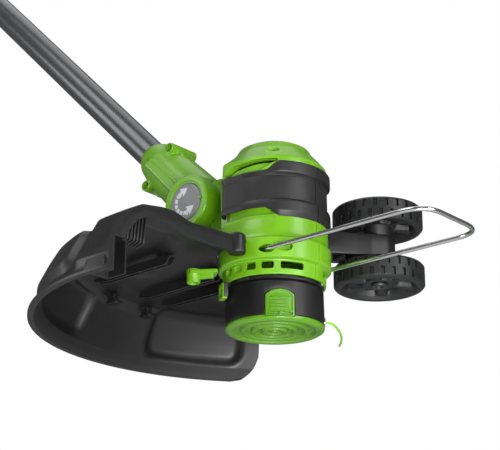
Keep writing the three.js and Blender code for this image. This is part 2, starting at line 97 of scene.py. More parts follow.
def surface(name, rgb, rough=(0.4, 0.5), spread=0.05, metallic=0.0, grain=0.35, bump=0.05, depth=0.05,
            patch=18.0, stretch=(1, 1, 1), coat=0.0, edge=0.12, ior=1.5):
    """Moulded plastic or metal: mottled colour, worn edges, and a fine grain in bump and roughness.

    grain and patch are the sizes, in mm, of the grain and of the slow changes of colour and gloss.
    """
    material = bpy.data.materials.new(name)
    material.use_nodes = True
    tree = material.node_tree
    shader = tree.nodes["Principled BSDF"]
    for key, value in (("Metallic", metallic), ("IOR", ior), ("Coat Weight", coat),
                       ("Coat Roughness", 0.12)):
        shader.inputs[key].default_value = value
    place = node(tree, "TexCoord")
    scaled = node(tree, "Mapping", {"Scale": stretch})
    slow = node(tree, "TexNoise", {"Scale": 1 / (patch * MM), "Detail": 4.0, "Roughness": 0.55})
    fine = node(tree, "TexNoise", {"Scale": 1 / (grain * MM), "Detail": 3.0, "Roughness": 0.6})
    dark, light = shades(rgb, spread)
    pale = tuple(min(1, c * 1.9 + 0.04) for c in light[:3]) + (1,)
    mottle = node(tree, "Mix", {6: dark, 7: light}, data_type="RGBA")
    shape = node(tree, "NewGeometry")
    corner = node(tree, "MapRange", {"From Min": 0.52, "From Max": 0.62, "To Max": edge})
    worn = node(tree, "Mix", {7: pale}, data_type="RGBA")
    blur = node(tree, "Mix", {"Factor": 0.4}, data_type="FLOAT")
    gloss = node(tree, "MapRange",
                 {"From Min": 0.3, "From Max": 0.7, "To Min": rough[0], "To Max": rough[1]})
    relief = node(tree, "Bump", {"Strength": bump, "Distance": depth * MM})
    for source, target in (
        (place.outputs["Object"], scaled.inputs["Vector"]),
        (scaled.outputs["Vector"], slow.inputs["Vector"]),
        (scaled.outputs["Vector"], fine.inputs["Vector"]),
        (slow.outputs["Fac"], mottle.inputs["Factor"]),
        (shape.outputs["Pointiness"], corner.inputs["Value"]),
        (corner.outputs["Result"], worn.inputs["Factor"]),
        (mottle.outputs[2], worn.inputs[6]),
        (worn.outputs[2], shader.inputs["Base Color"]),
        (slow.outputs["Fac"], blur.inputs[2]),
        (fine.outputs["Fac"], blur.inputs[3]),
        (blur.outputs[0], gloss.inputs["Value"]),
        (gloss.outputs["Result"], shader.inputs["Roughness"]),
        (fine.outputs["Fac"], relief.inputs["Height"]),
        (relief.outputs["Normal"], shader.inputs["Normal"]),
    ):
        tree.links.new(source, target)
    return material


GREEN = surface("lime plastic", (100, 158, 15), rough=(0.30, 0.42), spread=0.05, coat=0.15)
CAP_GREEN = surface("cap plastic", (82, 136, 13), rough=(0.26, 0.38), spread=0.06, coat=0.2)
BLACK = surface("black plastic", (15, 15, 16), rough=(0.38, 0.5), spread=0.1, bump=0.08)
GUARD_BLACK = surface("guard plastic", (14, 14, 15), rough=(0.36, 0.48), spread=0.12,
                      grain=0.6, bump=0.1)
RUBBER = surface("black overmould", (27, 27, 28), rough=(0.42, 0.55), spread=0.1,
                 grain=0.5, bump=0.16)
TYRE = surface("wheel plastic", (22, 23, 23), rough=(0.40, 0.55), spread=0.12, grain=0.7,
               bump=0.2)
GREY = surface("button plastic", (116, 117, 118), rough=(0.40, 0.5), spread=0.04)
PRINT = surface("symbol print", (186, 193, 196), rough=(0.45, 0.55), spread=0.03)
STEEL = surface("bright steel", (196, 198, 202), rough=(0.2, 0.34), metallic=1.0, grain=0.3,
                bump=0.1)
WIRE_STEEL = surface("wire steel", (212, 212, 214), rough=(0.12, 0.24), metallic=1.0,
                     grain=0.4, stretch=(0.1, 1, 1), bump=0.06, edge=0.0)
DARK_STEEL = surface("blackened steel", (62, 62, 64), rough=(0.4, 0.5), metallic=0.6,
                     grain=0.3)
TUBE_PAINT = surface("tube paint", (80, 81, 83), rough=(0.24, 0.34), metallic=0.5,
                     spread=0.02, bump=0.02, coat=0.25, edge=0.05)
NYLON = surface("nylon line", (128, 200, 36), rough=(0.24, 0.36), spread=0.05, patch=5.0,
                edge=0.0)
LEAD = surface("lead rubber", (30, 30, 31), rough=(0.5, 0.6), spread=0.1)
FLOOR = surface("floor", (236, 236, 236), rough=(0.7, 0.8), spread=0.01, patch=400.0, grain=3.0,
                edge=0.0)


# ---------------------------------------------------------------- mesh tools
def at(x=0.0, y=0.0, z=0.0):
    return Matrix.Translation((x, y, z))


def spin(degrees):
    return Matrix.Rotation(math.radians(degrees), 4, "Z")


HEAD = Matrix.Identity(4)
ALONG_X = Matrix.Rotation(math.pi / 2, 4, "Y")
ALONG_Y = Matrix.Rotation(-math.pi / 2, 4, "X")
TURNED_OVER = Matrix.Rotation(math.pi, 4, "X")
PIVOT = at(-60.6, 0, 103.1)  # the tilt axle
PIVOT_BORE, PIN_BORE, BOLT_BORE = 5.3, 2.8, 3.3
UPPER_BORE = 14.35  # the bores round the upper tube
SHAFT = PIVOT @ Matrix.Rotation(-math.radians(45.5), 4, "Y")
ACROSS = SHAFT @ ALONG_Y


def crossing(n, u):
    """The frame of a pin that crosses the shaft at (n, u)."""
    return SHAFT @ at(n, 0, u) @ ALONG_Y


def link_mesh(name, mesh):
    made = bpy.data.objects.new(name, mesh)
    scene.collection.objects.link(made)
    return made


def from_bmesh(name, bm, place=HEAD):
    bmesh.ops.remove_doubles(bm, verts=bm.verts, dist=1e-4)
    bmesh.ops.recalc_face_normals(bm, faces=bm.faces)
    bm.transform(Matrix.Scale(MM, 4) @ place)
    mesh = bpy.data.meshes.new(name)
    bm.to_mesh(mesh)
    bm.free()
    return link_mesh(name, mesh)


def grid(rows, closed=True, place=HEAD, name="tool"):
    """A surface through rows of points whose ends meet. An open run of rows gets a cap at each end."""
    bm = bmesh.new()
    made = [[bm.verts.new(p) for p in row] for row in rows]
    count = len(rows)
    for i in range(count if closed else count - 1):
        a, b = made[i], made[(i + 1) % count]
        for j in range(len(a)):
            k = (j + 1) % len(a)
            bm.faces.new((a[j], a[k], b[k], b[j]))
    if not closed:
        bm.faces.new(made[0])
        bm.faces.new(list(reversed(made[-1])))
    return from_bmesh(name, bm, place)


def turn_corner(start, corner, end, steps):
    """A smooth turn from start to end, whose straight runs would meet at the corner."""
    shares = [k / steps for k in range(steps + 1)]
    return [start * (1 - t) ** 2 + corner * 2 * t * (1 - t) + end * t ** 2 for t in shares]


def rounded(points, radius, steps=4):
    """A closed outline with its corners rounded. A point may give its own radius as a third number."""
    made = []
    count = len(points)
    for i, point in enumerate(points):
        here = Vector(point[:2])
        before = Vector(points[i - 1][:2]) - here
        after = Vector(points[(i + 1) % count][:2]) - here
        size = point[2] if len(point) > 2 else radius
        opening = before.angle(after, math.pi)
        if size <= 0 or opening > math.radians(176):
            made.append(here)
            continue
        reach = min(size / math.tan(opening / 2), before.length * 0.48, after.length * 0.48)
        start = here + before.normalized() * reach
        end = here + after.normalized() * reach
        made += turn_corner(start, here, end, steps)
    return [tuple(p) for p in made]


def polar(r, degrees, z=0.0):
    a = math.radians(degrees)
    return Vector((r * math.cos(a), r * math.sin(a), z))


def lathe(profile, segments=96, radius=0.4, place=HEAD, shape=None, angles=None, steps=3, name="tool"):
    """A closed profile of (r, z) turned about z. shape(degrees, r, z) may move each point in r and z."""
    outline = rounded(profile, radius, steps) if radius else [tuple(p[:2]) for p in profile]
    angles = angles or [360 * i / segments for i in range(segments)]
    rows = []
    for a in angles:
        moved = [shape(a, r, z) for r, z in outline] if shape else outline
        rows.append([polar(r, a, z) for r, z in moved])
    return grid(rows, place=place, name=name)


def slab(outline, lo, hi, place=HEAD, plane="xy", corner=0.0, name="tool"):
    """An outline extruded from lo to hi, across the plane that it is drawn in."""
    points = rounded(outline, corner) if corner else [tuple(p[:2]) for p in outline]
    rows = []
    for t in (lo, hi):
        rows.append([Vector((x, y, t)) if plane == "xy" else Vector((x, t, y)) for x, y in points])
    return grid(rows, closed=False, place=place, name=name)


def block(x0, x1, y0, y1, z0, z1, place=HEAD, corner=0.0, name="tool"):
    return slab([(x0, y0), (x1, y0), (x1, y1), (x0, y1)], z0, z1, place, corner=corner, name=name)


def rod(r, z0, z1, place=HEAD, segments=32, edge=0.3, name="tool"):
    return lathe([(0, z0, 0), (r, z0, edge), (r, z1, edge), (0, z1, 0)], segments, edge, place, name=name)


def sweep(path, radius, sides=12, place=HEAD, name="tool"):
    """A round bar along a smooth path of points, with domed ends."""
    points = [Vector(p) for p in path]
    tangents = [(points[min(i + 1, len(points) - 1)] - points[max(i - 1, 0)]).normalized()
                for i in range(len(points))]
    side = tangents[0].orthogonal().normalized()
    frames = []
    for p, t in zip(points, tangents):
        side = (side - t * side.dot(t)).normalized()
        frames.append((p, t, side, t.cross(side)))
    turns = [2 * math.pi * j / sides for j in range(sides)]
    last = len(points) - 1
    rings = [(0, 0.0, 0.35), (0, 0.12, 0.7), (0, 0.3, 1)]  # which point, then shift and scale in radii
    rings += [(k, 0, 1) for k in range(1, last)]
    rings += [(last, -0.3, 1), (last, -0.12, 0.7), (last, 0.0, 0.35)]
    rows = []
    for k, shift, scale in rings:
        p, t, s, u = frames[k]
        centre = p + t * (shift * radius)
        rows.append([centre + (s * math.cos(a) + u * math.sin(a)) * radius * scale for a in turns])
    return grid(rows, closed=False, place=place, name=name)


def bent(corners, bend, steps=10):
    """Straight runs between corners, each corner rounded to the given radius."""
    points = [Vector(c) for c in corners]
    path = [points[0]]
    for a, b, c in zip(points, points[1:], points[2:]):
        start = b + (a - b).normalized() * bend
        end = b + (c - b).normalized() * bend
        path += turn_corner(start, b, end, steps)
    path.append(points[-1])
    return path


def smooth_path(points, steps=8):
    """A Catmull-Rom curve through points."""
    p = [Vector(q) for q in points]
    p = [p[0] * 2 - p[1]] + p + [p[-1] * 2 - p[-2]]
    path = []
    for i in range(1, len(p) - 2):
        for k in range(steps):
            t = k / steps
            path.append(0.5 * (2 * p[i] + (p[i + 1] - p[i - 1]) * t
                               + (2 * p[i - 1] - 5 * p[i] + 4 * p[i + 1] - p[i + 2]) * t ** 2
                               + (3 * p[i] - p[i - 1] - 3 * p[i + 1] + p[i + 2]) * t ** 3))
    return path + [p[-2]]


def bake(obj):
    """Applies the modifiers to the mesh."""
    graph = bpy.context.evaluated_depsgraph_get()
    mesh = bpy.data.meshes.new_from_object(obj.evaluated_get(graph))
    obj.modifiers.clear()
    obj.data = mesh
    return obj


def combine(obj, tools, operation):
    for tool in tools:
        change = obj.modifiers.new("combine", "BOOLEAN")
        change.operation = operation
        change.object = tool
        change.solver = "EXACT"
        bake(obj)
        bpy.data.objects.remove(tool)
    return obj


def cut(obj, *tools):
    return combine(obj, tools, "DIFFERENCE")


def union(obj, *tools):
    return combine(obj, tools, "UNION")


def common(obj, tool):
    return combine(obj, [tool], "INTERSECT")


def soften(obj, width=0.5, segments=2, angle=32):
    """Rounds every edge sharper than the angle."""
    change = obj.modifiers.new("soften", "BEVEL")
    change.width = width * MM
    change.segments = segments
    change.limit_method = "ANGLE"
    change.angle_limit = math.radians(angle)
    change.use_clamp_overlap = True
    return bake(obj)


def melt(obj, voxel=0.8, rounds=6, factor=0.5):
    """Joins what overlaps into one skin and smooths it, for moulded blends."""
    change = obj.modifiers.new("melt", "REMESH")
    change.mode = "VOXEL"
    change.voxel_size = voxel * MM
    relax = obj.modifiers.new("relax", "SMOOTH")
    relax.iterations = rounds
    relax.factor = factor
    return bake(obj)


def finish(obj, material, body, *nodes, sharp=30):
    """Gives a piece its material and its body, and hides the CAD nodes that it stands for."""
    obj.data.materials.clear()
    obj.data.materials.append(material)
    for face in obj.data.polygons:
        face.use_smooth = True
        face.material_index = 0
    obj.data.set_sharp_from_angle(angle=math.radians(sharp))
    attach(obj, body)
    if nodes:
        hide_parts(*nodes)


def two_shells(obj, piece, node_name, gap, material, body, bevel, sharp):
    """Splits a body at the seam y = 0 into a left and a right piece, and finishes both."""
    reach = 3000
    left = obj
    right = link_mesh(piece + "_right", obj.data.copy())
    left.name = piece + "_left"
    common(left, block(-reach, reach, -reach, -gap / 2, -reach, reach))
    common(right, block(-reach, reach, gap / 2, reach, -reach, reach))
    for half, side in ((left, "_left"), (right, "_right")):
        if bevel:
            soften(half, *bevel)
        finish(half, material, body, node_name + side, sharp=sharp)


def ease(x, lo, hi):
    """0 below lo and 1 above hi, with a smooth rise between."""
    t = max(0.0, min(1.0, (x - lo) / (hi - lo)))
    return t * t * (3 - 2 * t)


def window(x, lo, hi, edge):
    """1 from lo to hi, easing to 0 over an edge outside them."""
    return ease(x, lo - edge, lo) * (1 - ease(x, hi, hi + edge))


def signed(degrees):
    """The same angle between -180 and 180."""
    return (degrees + 180) % 360 - 180


# ---------------------------------------------------------------- cutting line
LINE_ROUTE = [
    (0.0257, 0.0232, 0.0075), (0.0276, 0.0261, 0.0074), (0.0276, 0.0302, 0.0071), (0.026, 0.0348, 0.0068),
    (0.0234, 0.0411, 0.0063), (0.0206, 0.0468, 0.0057), (0.0174, 0.0521, 0.005), (0.0136, 0.0572, 0.0044),
    (0.0094, 0.062, 0.0038), (0.005, 0.066, 0.0032),
]
LINE_RADIUS = 0.0008


def cutting_line():
    path = smooth_path(LINE_ROUTE, 4)
    millimetres = [p / MM for p in path]
    line = sweep(millimetres, LINE_RADIUS / MM, 14, name="cutting_line_nylon")
    finish(line, NYLON, "spool", "cutting_line", sharp=60)


cutting_line()


# ---------------------------------------------------------------- motor housing
SKIRT_R, FLANGE_R, BODY_R = 35.6, 39.5, 37.5
WIRE_Z = 48.2  # the height of the wire guard and its channels
BRIM_DROP = 6.2  # how far the brim comes down over the flat sides
BACK_WALL, BACK_CORNER = 19.3, 6.0  # the housing is round in front and square behind


def plan_reach(degrees, r):
    """How far out the housing's plan lies: a circle in front, a rounded square with flat sides behind."""
    a = math.radians(degrees)
    c, s = math.cos(a), abs(math.sin(a))
    if c >= 0:
        return r
    inset = BODY_R - r
    half, back = BODY_R - inset, BACK_WALL - inset
    flat = min(half / max(s, 1e-6), back / max(-c, 1e-6))
    cx, cy = back - BACK_CORNER, half - BACK_CORNER
    along = -c * cx + s * cy
    square = BACK_CORNER ** 2 - (cx * cx + cy * cy - along * along)
    if square > 0:
        hit = along + math.sqrt(square)
        x, y = -c * hit, s * hit
        if x >= cx and y >= cy:
            return hit
    return flat


def plan_angles(count=150):
    """Even angles, with more where the plan turns a corner."""
    even = [360 * i / count for i in range(count)]
    extra = [a for base in (110, 236) for a in (base + 0.8 * k for k in range(18))]
    return sorted(set(round(a, 3) for a in even + extra))


def side_panel(degrees):
    """1 over the flat side of the housing, where the band has no rims, and 0 in front."""
    return ease(abs(signed(degrees)), 43, 60)


def housing_shape(degrees, r, z):
    """Squares the housing off behind, lowers its brim there, and sinks a panel into each side."""
    if z < 58.5 or r < 20:
        return r, z
    out = r + (plan_reach(degrees, r) - r) * (1 - ease(z, 117.5, 122.5))
    if 110 < z < 114 and r > 34:
        z -= BRIM_DROP * side_panel(degrees)
    panel = window(abs(signed(degrees)), 54, 112, 5) * window(z, 69.8, 80, 1.3)
    return (out - 1.3 * panel) if r > 34.5 else out, z


def motor_housing():
    outer = [(34, 31.5, 0.4), (SKIRT_R, 31.5, 0.6), (36.2, 41.6, 1.2), (38.6, 42.2, 0.7),
             (FLANGE_R, 43.2, 0.6), (FLANGE_R, 56.4, 1.0), (38.2, 57.6, 1.4), (BODY_R, 60, 2),
             (BODY_R, 69.2, 0), (BODY_R, 70.5, 0), (BODY_R, 71.8, 0), (BODY_R, 73.5, 0.5),
             (BODY_R - 2.5, 74.5, 0.3), (BODY_R - 2.5, 77, 0), (BODY_R - 2.5, 90, 0),
             (BODY_R - 2.5, 111.4, 0.6), (BODY_R - 0.1, 112.8, 0.8), (BODY_R - 0.5, 116.6, 1.2),
             (31.3, 123.4, 3), (27.6, 127.4, 2.4), (25.4, 131.6, 2.5), (20.5, 134.2, 5), (0, 135.2, 0),
             (0, 131.8, 0), (20, 131.2, 2), (28.5, 120.4, 3), (32.6, 112, 2), (32.6, 62, 0), (34, 60, 0)]
    shell = lathe(outer, 0, 0.8, shape=housing_shape, angles=plan_angles(), steps=4, name="housing")
    barrel = lathe([(0, -13.4), (20.5, -13.4, 1.2), (20.5, 13.4, 1.2), (0, 13.4)], 72, 0.6,
                   place=PIVOT @ ALONG_Y)
    web_side = [(-17, 64, 6), (-30, 65.5, 10), (-50, 84.5, 8), (-62, 90, 4), (-62, 117, 4), (-44, 120.5, 8),
                (-30, 119.4, 4), (-17, 119, 2)]
    web = soften(slab(web_side, -13.4, 13.4, plane="xz", corner=3), 1.5, 3)
    shoulder = soften(slab([(-17, 65.5, 2), (-27, 67, 5), (-31, 78, 6), (-31, 106, 6), (-27, 117, 5),
                            (-17, 118.5, 2)], -22, 22, plane="xz", corner=3), 4.5, 5)
    hollow = rod(32.6, 20, 112, segments=48)
    neck = cut(union(web, shoulder, barrel), hollow)
    body = union(shell, neck)
    cut(body, rod(PIVOT_BORE, -20, 20, PIVOT @ ALONG_Y))
    tools = []
    for side in (-1, 1):
        for angle, half in ((30.3, 8.2), (57.5, 4.2), (76.5, 3.7), (93.4, 3.7), (110, 3.7)):
            face = [(-half, 35.2), (half, 35.2), (half, 40.4), (-half, 40.4)]
            depth = 26 if angle < 90 else 34.4
            tools.append(slab(face, depth, 45, spin(side * angle - 90), "xz", 1.6))
        tools.append(rod(3.0, -12, 45, at(0, side * 33.0, WIRE_Z) @ ALONG_X))
        oval = spin(side * 40.5) @ at(34.7, 0, 50) @ ALONG_X @ Matrix.Diagonal((1, 1.65, 1, 1))
        tools.append(lathe([(0, 0), (3.5, 0), (3.7, 6), (0, 6)], 32, 0.4, place=oval))
        tools.append(visor_slot(side, 3.4, 6.0))
        tools.append(visor_slot(side, 9.0, 0.4))
        oval = (spin(side * 51) @ at(27.4, 0, 118.6) @ Matrix.Rotation(math.radians(38), 4, "Y")
                @ Matrix.Diagonal((1, 1.5, 1, 1)))
        tools.append(lathe([(0, 0), (2.9, 0), (3.3, 12), (0, 12)], 28, 0.3, place=oval))
    cut(body, *tools)
    two_shells(body, "housing_shell", "housing", 0.7, GREEN, "head", (0.3, 2, 40), 35)


def visor_slot(side, depth, height):
    """The curved vent under the brim: deepest at the side, running out where the band's rim begins.

    A shallow one is the recess and a deep, low one under its roof lets the air through.
    """
    rows = []
    steps = 26
    for i in range(steps + 1):
        t = i / steps
        a = side * (46 + 68 * t)
        roof = 114.0 - 1.6 * ease(t, 0.2, 0.8) - 4.6 * ease(t, 0.75, 1.0)
        tall = 0.4 + height * ease(t, 0, 0.3) * (1 - 0.7 * ease(t, 0.85, 1.0))
        reach = plan_reach(a % 360, BODY_R)
        inner, outer = reach - depth, reach + 4
        rows.append([polar(inner, a, roof - tall - 1.4), polar(outer, a, roof - tall - 1.4),
                     polar(outer, a, roof), polar(inner, a, roof + 0.4)])
    return grid(rows, closed=False)


def housing_band():
    def band_profile(degrees):
        side = side_panel(degrees)
        low = 71.6 + 6.6 * side
        high = 112.0 - 6.4 * side
        rim = 1.8 * (1 - side)
        lip = 0.3 * side
        reach = plan_reach(degrees, BODY_R) - BODY_R
        seat = BODY_R - 2.2
        profile = [(seat, low + 1.2), (37.6, low), (37.9 + rim, low + 4.0 - 3.2 * side),
                   (37.7 + rim + lip, 82.2 - 0.6 * side), (37.5 + rim + lip, 83.4 - 0.8 * side),
                   (37.3, 84.8 - 0.6 * side), (37.35, 88), (37.35, 93), (37.3, 97), (37.2, 101.3),
                   (36.8, 102.2 - 0.6 * side), (37.5 + rim, 103.6 - 0.2 * side),
                   (37.8 + rim, 104.6 - 0.2 * side), (37.8 + rim, high - 0.8), (37.4 + rim, high),
                   (seat, high)]
        return [(r + reach, z) for r, z in profile]

    rows = []
    for a in plan_angles(220):
        outline = rounded(band_profile(a), 0.7, 3)
        rows.append([polar(r, a, z) for r, z in outline])
    band = grid(rows, name="band")
    cut(band, block(-80, -15.6, -30, 30, 60, 120))
    two_shells(band, "band_grip", "band", 0.8, RUBBER, "head", (0.25, 2, 45), 40)


# ---------------------------------------------------------------- guard
GUARD_FAR, GUARD_FRONT = 134.8, 8.0  # its far end's angle, its front plane's x
CORNER, RIM_Z = 22.0, 4.8  # the radius of its far lower corner, its lowest height
GUARD_OUTER = [(39.9, 56.0, 0), (60, 55.4, 3), (120, 52, 12), (136, 49.4, 6), (146, 43.6, 5), (153, 31, 6),
               (161, 14, 6), (165.2, 7.4, 1.5), (168, 7.0, 0.8), (168, 4.8, 0.6)]
GUARD_INNER = [
    (163.8, 4.8, 0.6), (158.4, 13.4, 5), (150.4, 30, 6), (143.6, 42, 5), (134.8, 47, 6), (119.7, 49.5, 12),
    (60, 52.9, 3), (39.9, 53.5, 0),
]


def resampled(points, spacing):
    """The same open line with a point at least every spacing mm."""
    path = [Vector(points[0])]
    for a, b in zip(points, points[1:]):
        a, b = Vector(a), Vector(b)
        pieces = max(1, math.ceil((b - a).length / spacing))
        path += [a.lerp(b, (k + 1) / pieces) for k in range(pieces)]
    return path


def open_line(points, steps=6):
    """An open line with rounded corners."""
    return rounded([(*points[0][:2], 0)] + list(points[1:-1]) + [(*points[-1][:2], 0)], 1, steps)


def in_panel(u, v, u0, u1, v0, v1, corner, edge):
    """1 inside a rounded rectangle and 0 outside it, with a soft edge."""
    cx, cy = (u0 + u1) / 2, (v0 + v1) / 2
    dx = abs(u - cx) - (u1 - u0) / 2 + corner
    dy = abs(v - cy) - (v1 - v0) / 2 + corner
    outside = math.hypot(max(dx, 0), max(dy, 0)) + min(max(dx, dy), 0) - corner
    return 1 - ease(outside, -edge, 0)


FRONT_BAND = 4.4  # how far the guard's front edge stands out
UNDER_GUARD = [(0, 5), (166.4, 5), (166.4, 9), (164, 16), (156.2, 32.4), (149, 46), (138.2, 52),
               (120, 54.6), (0, 54.6)]


def guard_push(degrees, r, z):
    """How far the guard's wall is pushed out over its raised panels."""
    arc = math.radians(degrees) * 150
    up = z if z < 43 else 43 + (146 - min(r, 146))  # the height, then how far in over the deck
    push = 0.0
    for start, end, low, high, depth in ((139.2, 170.8, 13.5, 58, 4.6), (195.5, 258, 13, 47, 4.6)):
        first, last = math.radians(start) * 150, math.radians(end) * 150
        push = max(push, depth * in_panel(arc, up, first, last, low, high, 11, 6.5))
    x, y = r * math.cos(math.radians(degrees)), r * math.sin(math.radians(degrees))
    if z > 45:
        push = max(push, 3.6 * in_panel(x, y, -96, -14.5, -126, -79 + 0.62 * (abs(x) - 15), 9, 6))
    return max(push, FRONT_BAND * ease(degrees, 259, 262.5) * ease(z, 8, 15) * ease(r, 92, 112))


def outward(points, i):
    """The unit normal of a line at its point i, turned out or up."""
    tangent = (points[min(i + 1, len(points) - 1)] - points[max(i - 1, 0)]).normalized()
    normal = Vector((tangent.y, -tangent.x))
    leading = normal.x if abs(normal.x) > abs(normal.y) else normal.y
    return -normal if leading < 0 else normal


def corner_turn(degrees, z):
    """How many degrees the guard's far edge is turned in to round its lower corner."""
    if z >= CORNER:
        return 0
    turn_in = CORNER - math.sqrt(max(0.0, CORNER ** 2 - (CORNER - (z - RIM_Z)) ** 2))
    return math.degrees(turn_in / 165) * (1 - ease(degrees, GUARD_FAR, GUARD_FAR + 16))


def guard_rows(outer, inner, angles, far_corner=True):
    """The guard's section at each angle, pushed out over the raised panels."""
    lines = [resampled(open_line(line), 3.4) for line in (outer, inner)]
    rows = []
    for a in angles:
        row = []
        for points in lines:
            for i, p in enumerate(points):
                q = p + outward(points, i) * guard_push(a, p.x, p.y)
                turn = corner_turn(a, p.y) if far_corner else 0
                row.append(polar(q.x, a + turn, q.y))
        rows.append(row)
    return rows


def guard():
    span = [GUARD_FAR + (282 - GUARD_FAR) * i / 150 for i in range(151)]
    shell = grid(guard_rows(GUARD_OUTER, GUARD_INNER, span), closed=False, name="guard_shell")
    reach = 300
    cut(shell, block(GUARD_FRONT, reach, -reach, 30, -20, 90))
    cut(shell, slab([(GUARD_FRONT + 1, -30), (-14, 0), (60, 60), (60, -30)], 20, 90))
    lip_inner = [(159.6, 4.8, 1), (153, 13.4, 4), (145, 30, 8), (138.6, 38.6, 8), (130, 42.6, 8),
                 (119, 43.8, 6), (60, 44.2, 3), (45.4, 44.4, 0)]
    lip_outer = [(45.4, 55.7, 0), *GUARD_OUTER[1:-1], (168, 4.8, 0.6)]
    lip = grid(guard_rows(lip_outer, lip_inner, [255 + 30 * i / 60 for i in range(61)], False),
               closed=False)
    common(lip, block(GUARD_FRONT - 3, GUARD_FRONT, -180, -42, 0, 60))
    post = lathe([(0, 43.6), (5.8, 43.6, 1), (6, 46), (6, 56.5, 1.6), (4, 58, 1), (0, 58)], 40, 0.4,
                 place=at(GUARD_FRONT - 1.2, -47.2, 0))
    parts = [lip, post]
    for y, low, x0 in ((-60, 44.2, -119), (-54.4, 45, -119), (-12, 44.2, -122), (-6.4, 45, -122),
                       (14, 44.6, -124), (19.6, 45.2, -124)):
        rib = slab([(x0, 46.5), (x0 + 12, low), (-47, low + 0.6), (-42, 51), (x0 + 4, 51)], y - 0.8,
                   y + 0.8, plane="xz", corner=1.5)
        parts.append(rib)
    for x in (-104, -90, -76, -62, -50):
        for y0, y1 in ((-60, -54.4), (-12, -6.4), (14, 19.6)):
            parts.append(block(x - 0.7, x + 0.7, y0, y1, 45.8, 51))
    for x, y in ((-131, -29.5), (-137, 11.5)):
        parts.append(soften(block(x - 3.6, x + 3.6, y - 2.6, y + 2.6, 39, 47, corner=1), 0.5))
        parts.append(soften(block(x - 3.6, x + 7, y - 3.8, y + 3.8, 39, 41, corner=1), 0.4))
    for i in range(7):
        y = -128.4 - 2.8 * i
        top = 51.5 if i < 3 else 51.5 - 1.6 * (i - 2)
        fin = slab([(-7.5, top), (-6, 29), (1.5, 31), (3, top)], y - 0.7, y + 0.7, plane="xz")
        parts.append(common(soften(fin, 0.3, 1), lathe(UNDER_GUARD, 240, 0)))
    cutter = soften(block(-12, 5, -166.5, -146, 6, 30, corner=1.2), 0.6)
    common(cutter, lathe(UNDER_GUARD, 240, 0))
    pocket = block(-9.6, 9, -159.6, -148, -1, 27, corner=0.8)
    union(shell, *parts, cutter)
    cut(shell, pocket)
    soften(shell, 0.35, 2, 40)
    finish(shell, GUARD_BLACK, "head", "guard", sharp=42)
    blade = slab([(-9, 8.6), (2.2, 8.6), (3, 10), (3, 26), (-9, 27)], -145.7, -144.5, plane="xz",
                 corner=0.4, name="cutter_blade_steel")
    finish(soften(blade, 0.2, 1), STEEL, "head", "cutter_blade")
    for i, z in enumerate((13, 23)):
        head = screw(1.7, 0.5, 1.5, at(-6, -144.2, z) @ ALONG_Y @ TURNED_OVER @ at(0, 0, -1.6))
        head.name = f"blade_screw_head_{i + 1}"
        finish(head, STEEL, "head", f"blade_screw_{i + 1}")


def screw(r, recess, length, place):
    """A pan head with a cross recess, its top at z = length."""
    head = lathe([(0, 0), (r * 0.9, 0), (r, length * 0.45, 0.3), (r * 0.72, length, 0.4), (0, length)], 28,
                 0.2, place=place, name="screw")
    arms = [block(-r * a, r * a, -r * b, r * b, length - recess, length + 1, place)
            for a, b in ((0.55, 0.14), (0.14, 0.55))]
    return cut(head, *arms)


def guard_bracket():
    place = at(-38, -41.5)
    arm = slab([(-20, -36.2), (-29, -28.6), (-43, -39), (-43, -43.5), (-36, -47.4)], 39.4, 41.8, corner=1.5,
               name="bracket")
    boss = lathe([(0, 33.5), (4.6, 33.5), (5.2, 43.2), (0, 43.2)], 36, 0.5, place=place)
    web = slab([(-24, -36.6), (-26, -34), (-36, -38.4), (-35, -41)], 36.4, 41, corner=0.4)
    union(arm, boss, web)
    cut(arm, rod(2.4, 30, 42.8, place), rod(3.4, 32, 36, place), rod(36.9, 0, 60, segments=96))
    finish(soften(arm, 0.4, 2), GREEN, "head", "guard_bracket")
    turn = spin(-118.5)
    tab = block(35.9, 39.5, -4.6, 3.8, 20, 31, turn, 0.8, name="skirt_tab_block")
    cut(tab, block(38.2, 41, -3.0, 2.4, 22.5, 28.5, turn, 0.6))
    finish(soften(tab, 0.5, 3), GREEN, "head", "skirt_tab")
    plate = block(35.9, 38.6, 4.2, 5.4, 21, 31, turn, 0.2, name="skirt_tab_steel")
    finish(soften(plate, 0.2, 2), DARK_STEEL, "head", "skirt_tab_plate")


# ---------------------------------------------------------------- edging wheels
WHEEL_REACH, WHEEL_ANGLE = 80.2, 61.3
WHEEL_R, WHEEL_W, AXLE_R = 32.6, 17.6, 3.8
NOTCHES, POCKETS = 26, 6
WHEEL_PLACE = spin(WHEEL_ANGLE) @ at(WHEEL_REACH)


def wheel_angles():
    """Columns at the edges of the tread's two staggered rows of notches."""
    pitch = 360 / NOTCHES
    edges = [0.0, 0.12, 0.165, 0.25, 0.335, 0.38, 0.5, 0.62, 0.665, 0.75, 0.835, 0.88]
    return [pitch * (i + e) for i in range(NOTCHES) for e in edges]


def wheel_shape(degrees, r, z):
    pitch = 360 / NOTCHES
    along = (degrees % pitch) / pitch
    if r > WHEEL_R - 1.2:
        for centre, low, high in ((0.0, 2.6, 7.2), (0.5, 10.4, 15.0)):
            off = min(abs(along - centre), 1 - abs(along - centre))
            r -= 1.7 * (1 - ease(off, 0.12, 0.165)) * window(z, low, high, 0.5)
        return r, z
    if 9.4 < r < 27.0:
        wedge = (degrees % (360 / POCKETS)) / (360 / POCKETS)
        spoke = min(wedge, 1 - wedge)
        open_share = ease(spoke, 0.1 + 0.4 / r, 0.22 + 0.4 / r) * window(r, 13.6, 23.6, 1.4)
        z += (1 if z < WHEEL_W / 2 else -1) * 3.8 * open_share
    return r, z


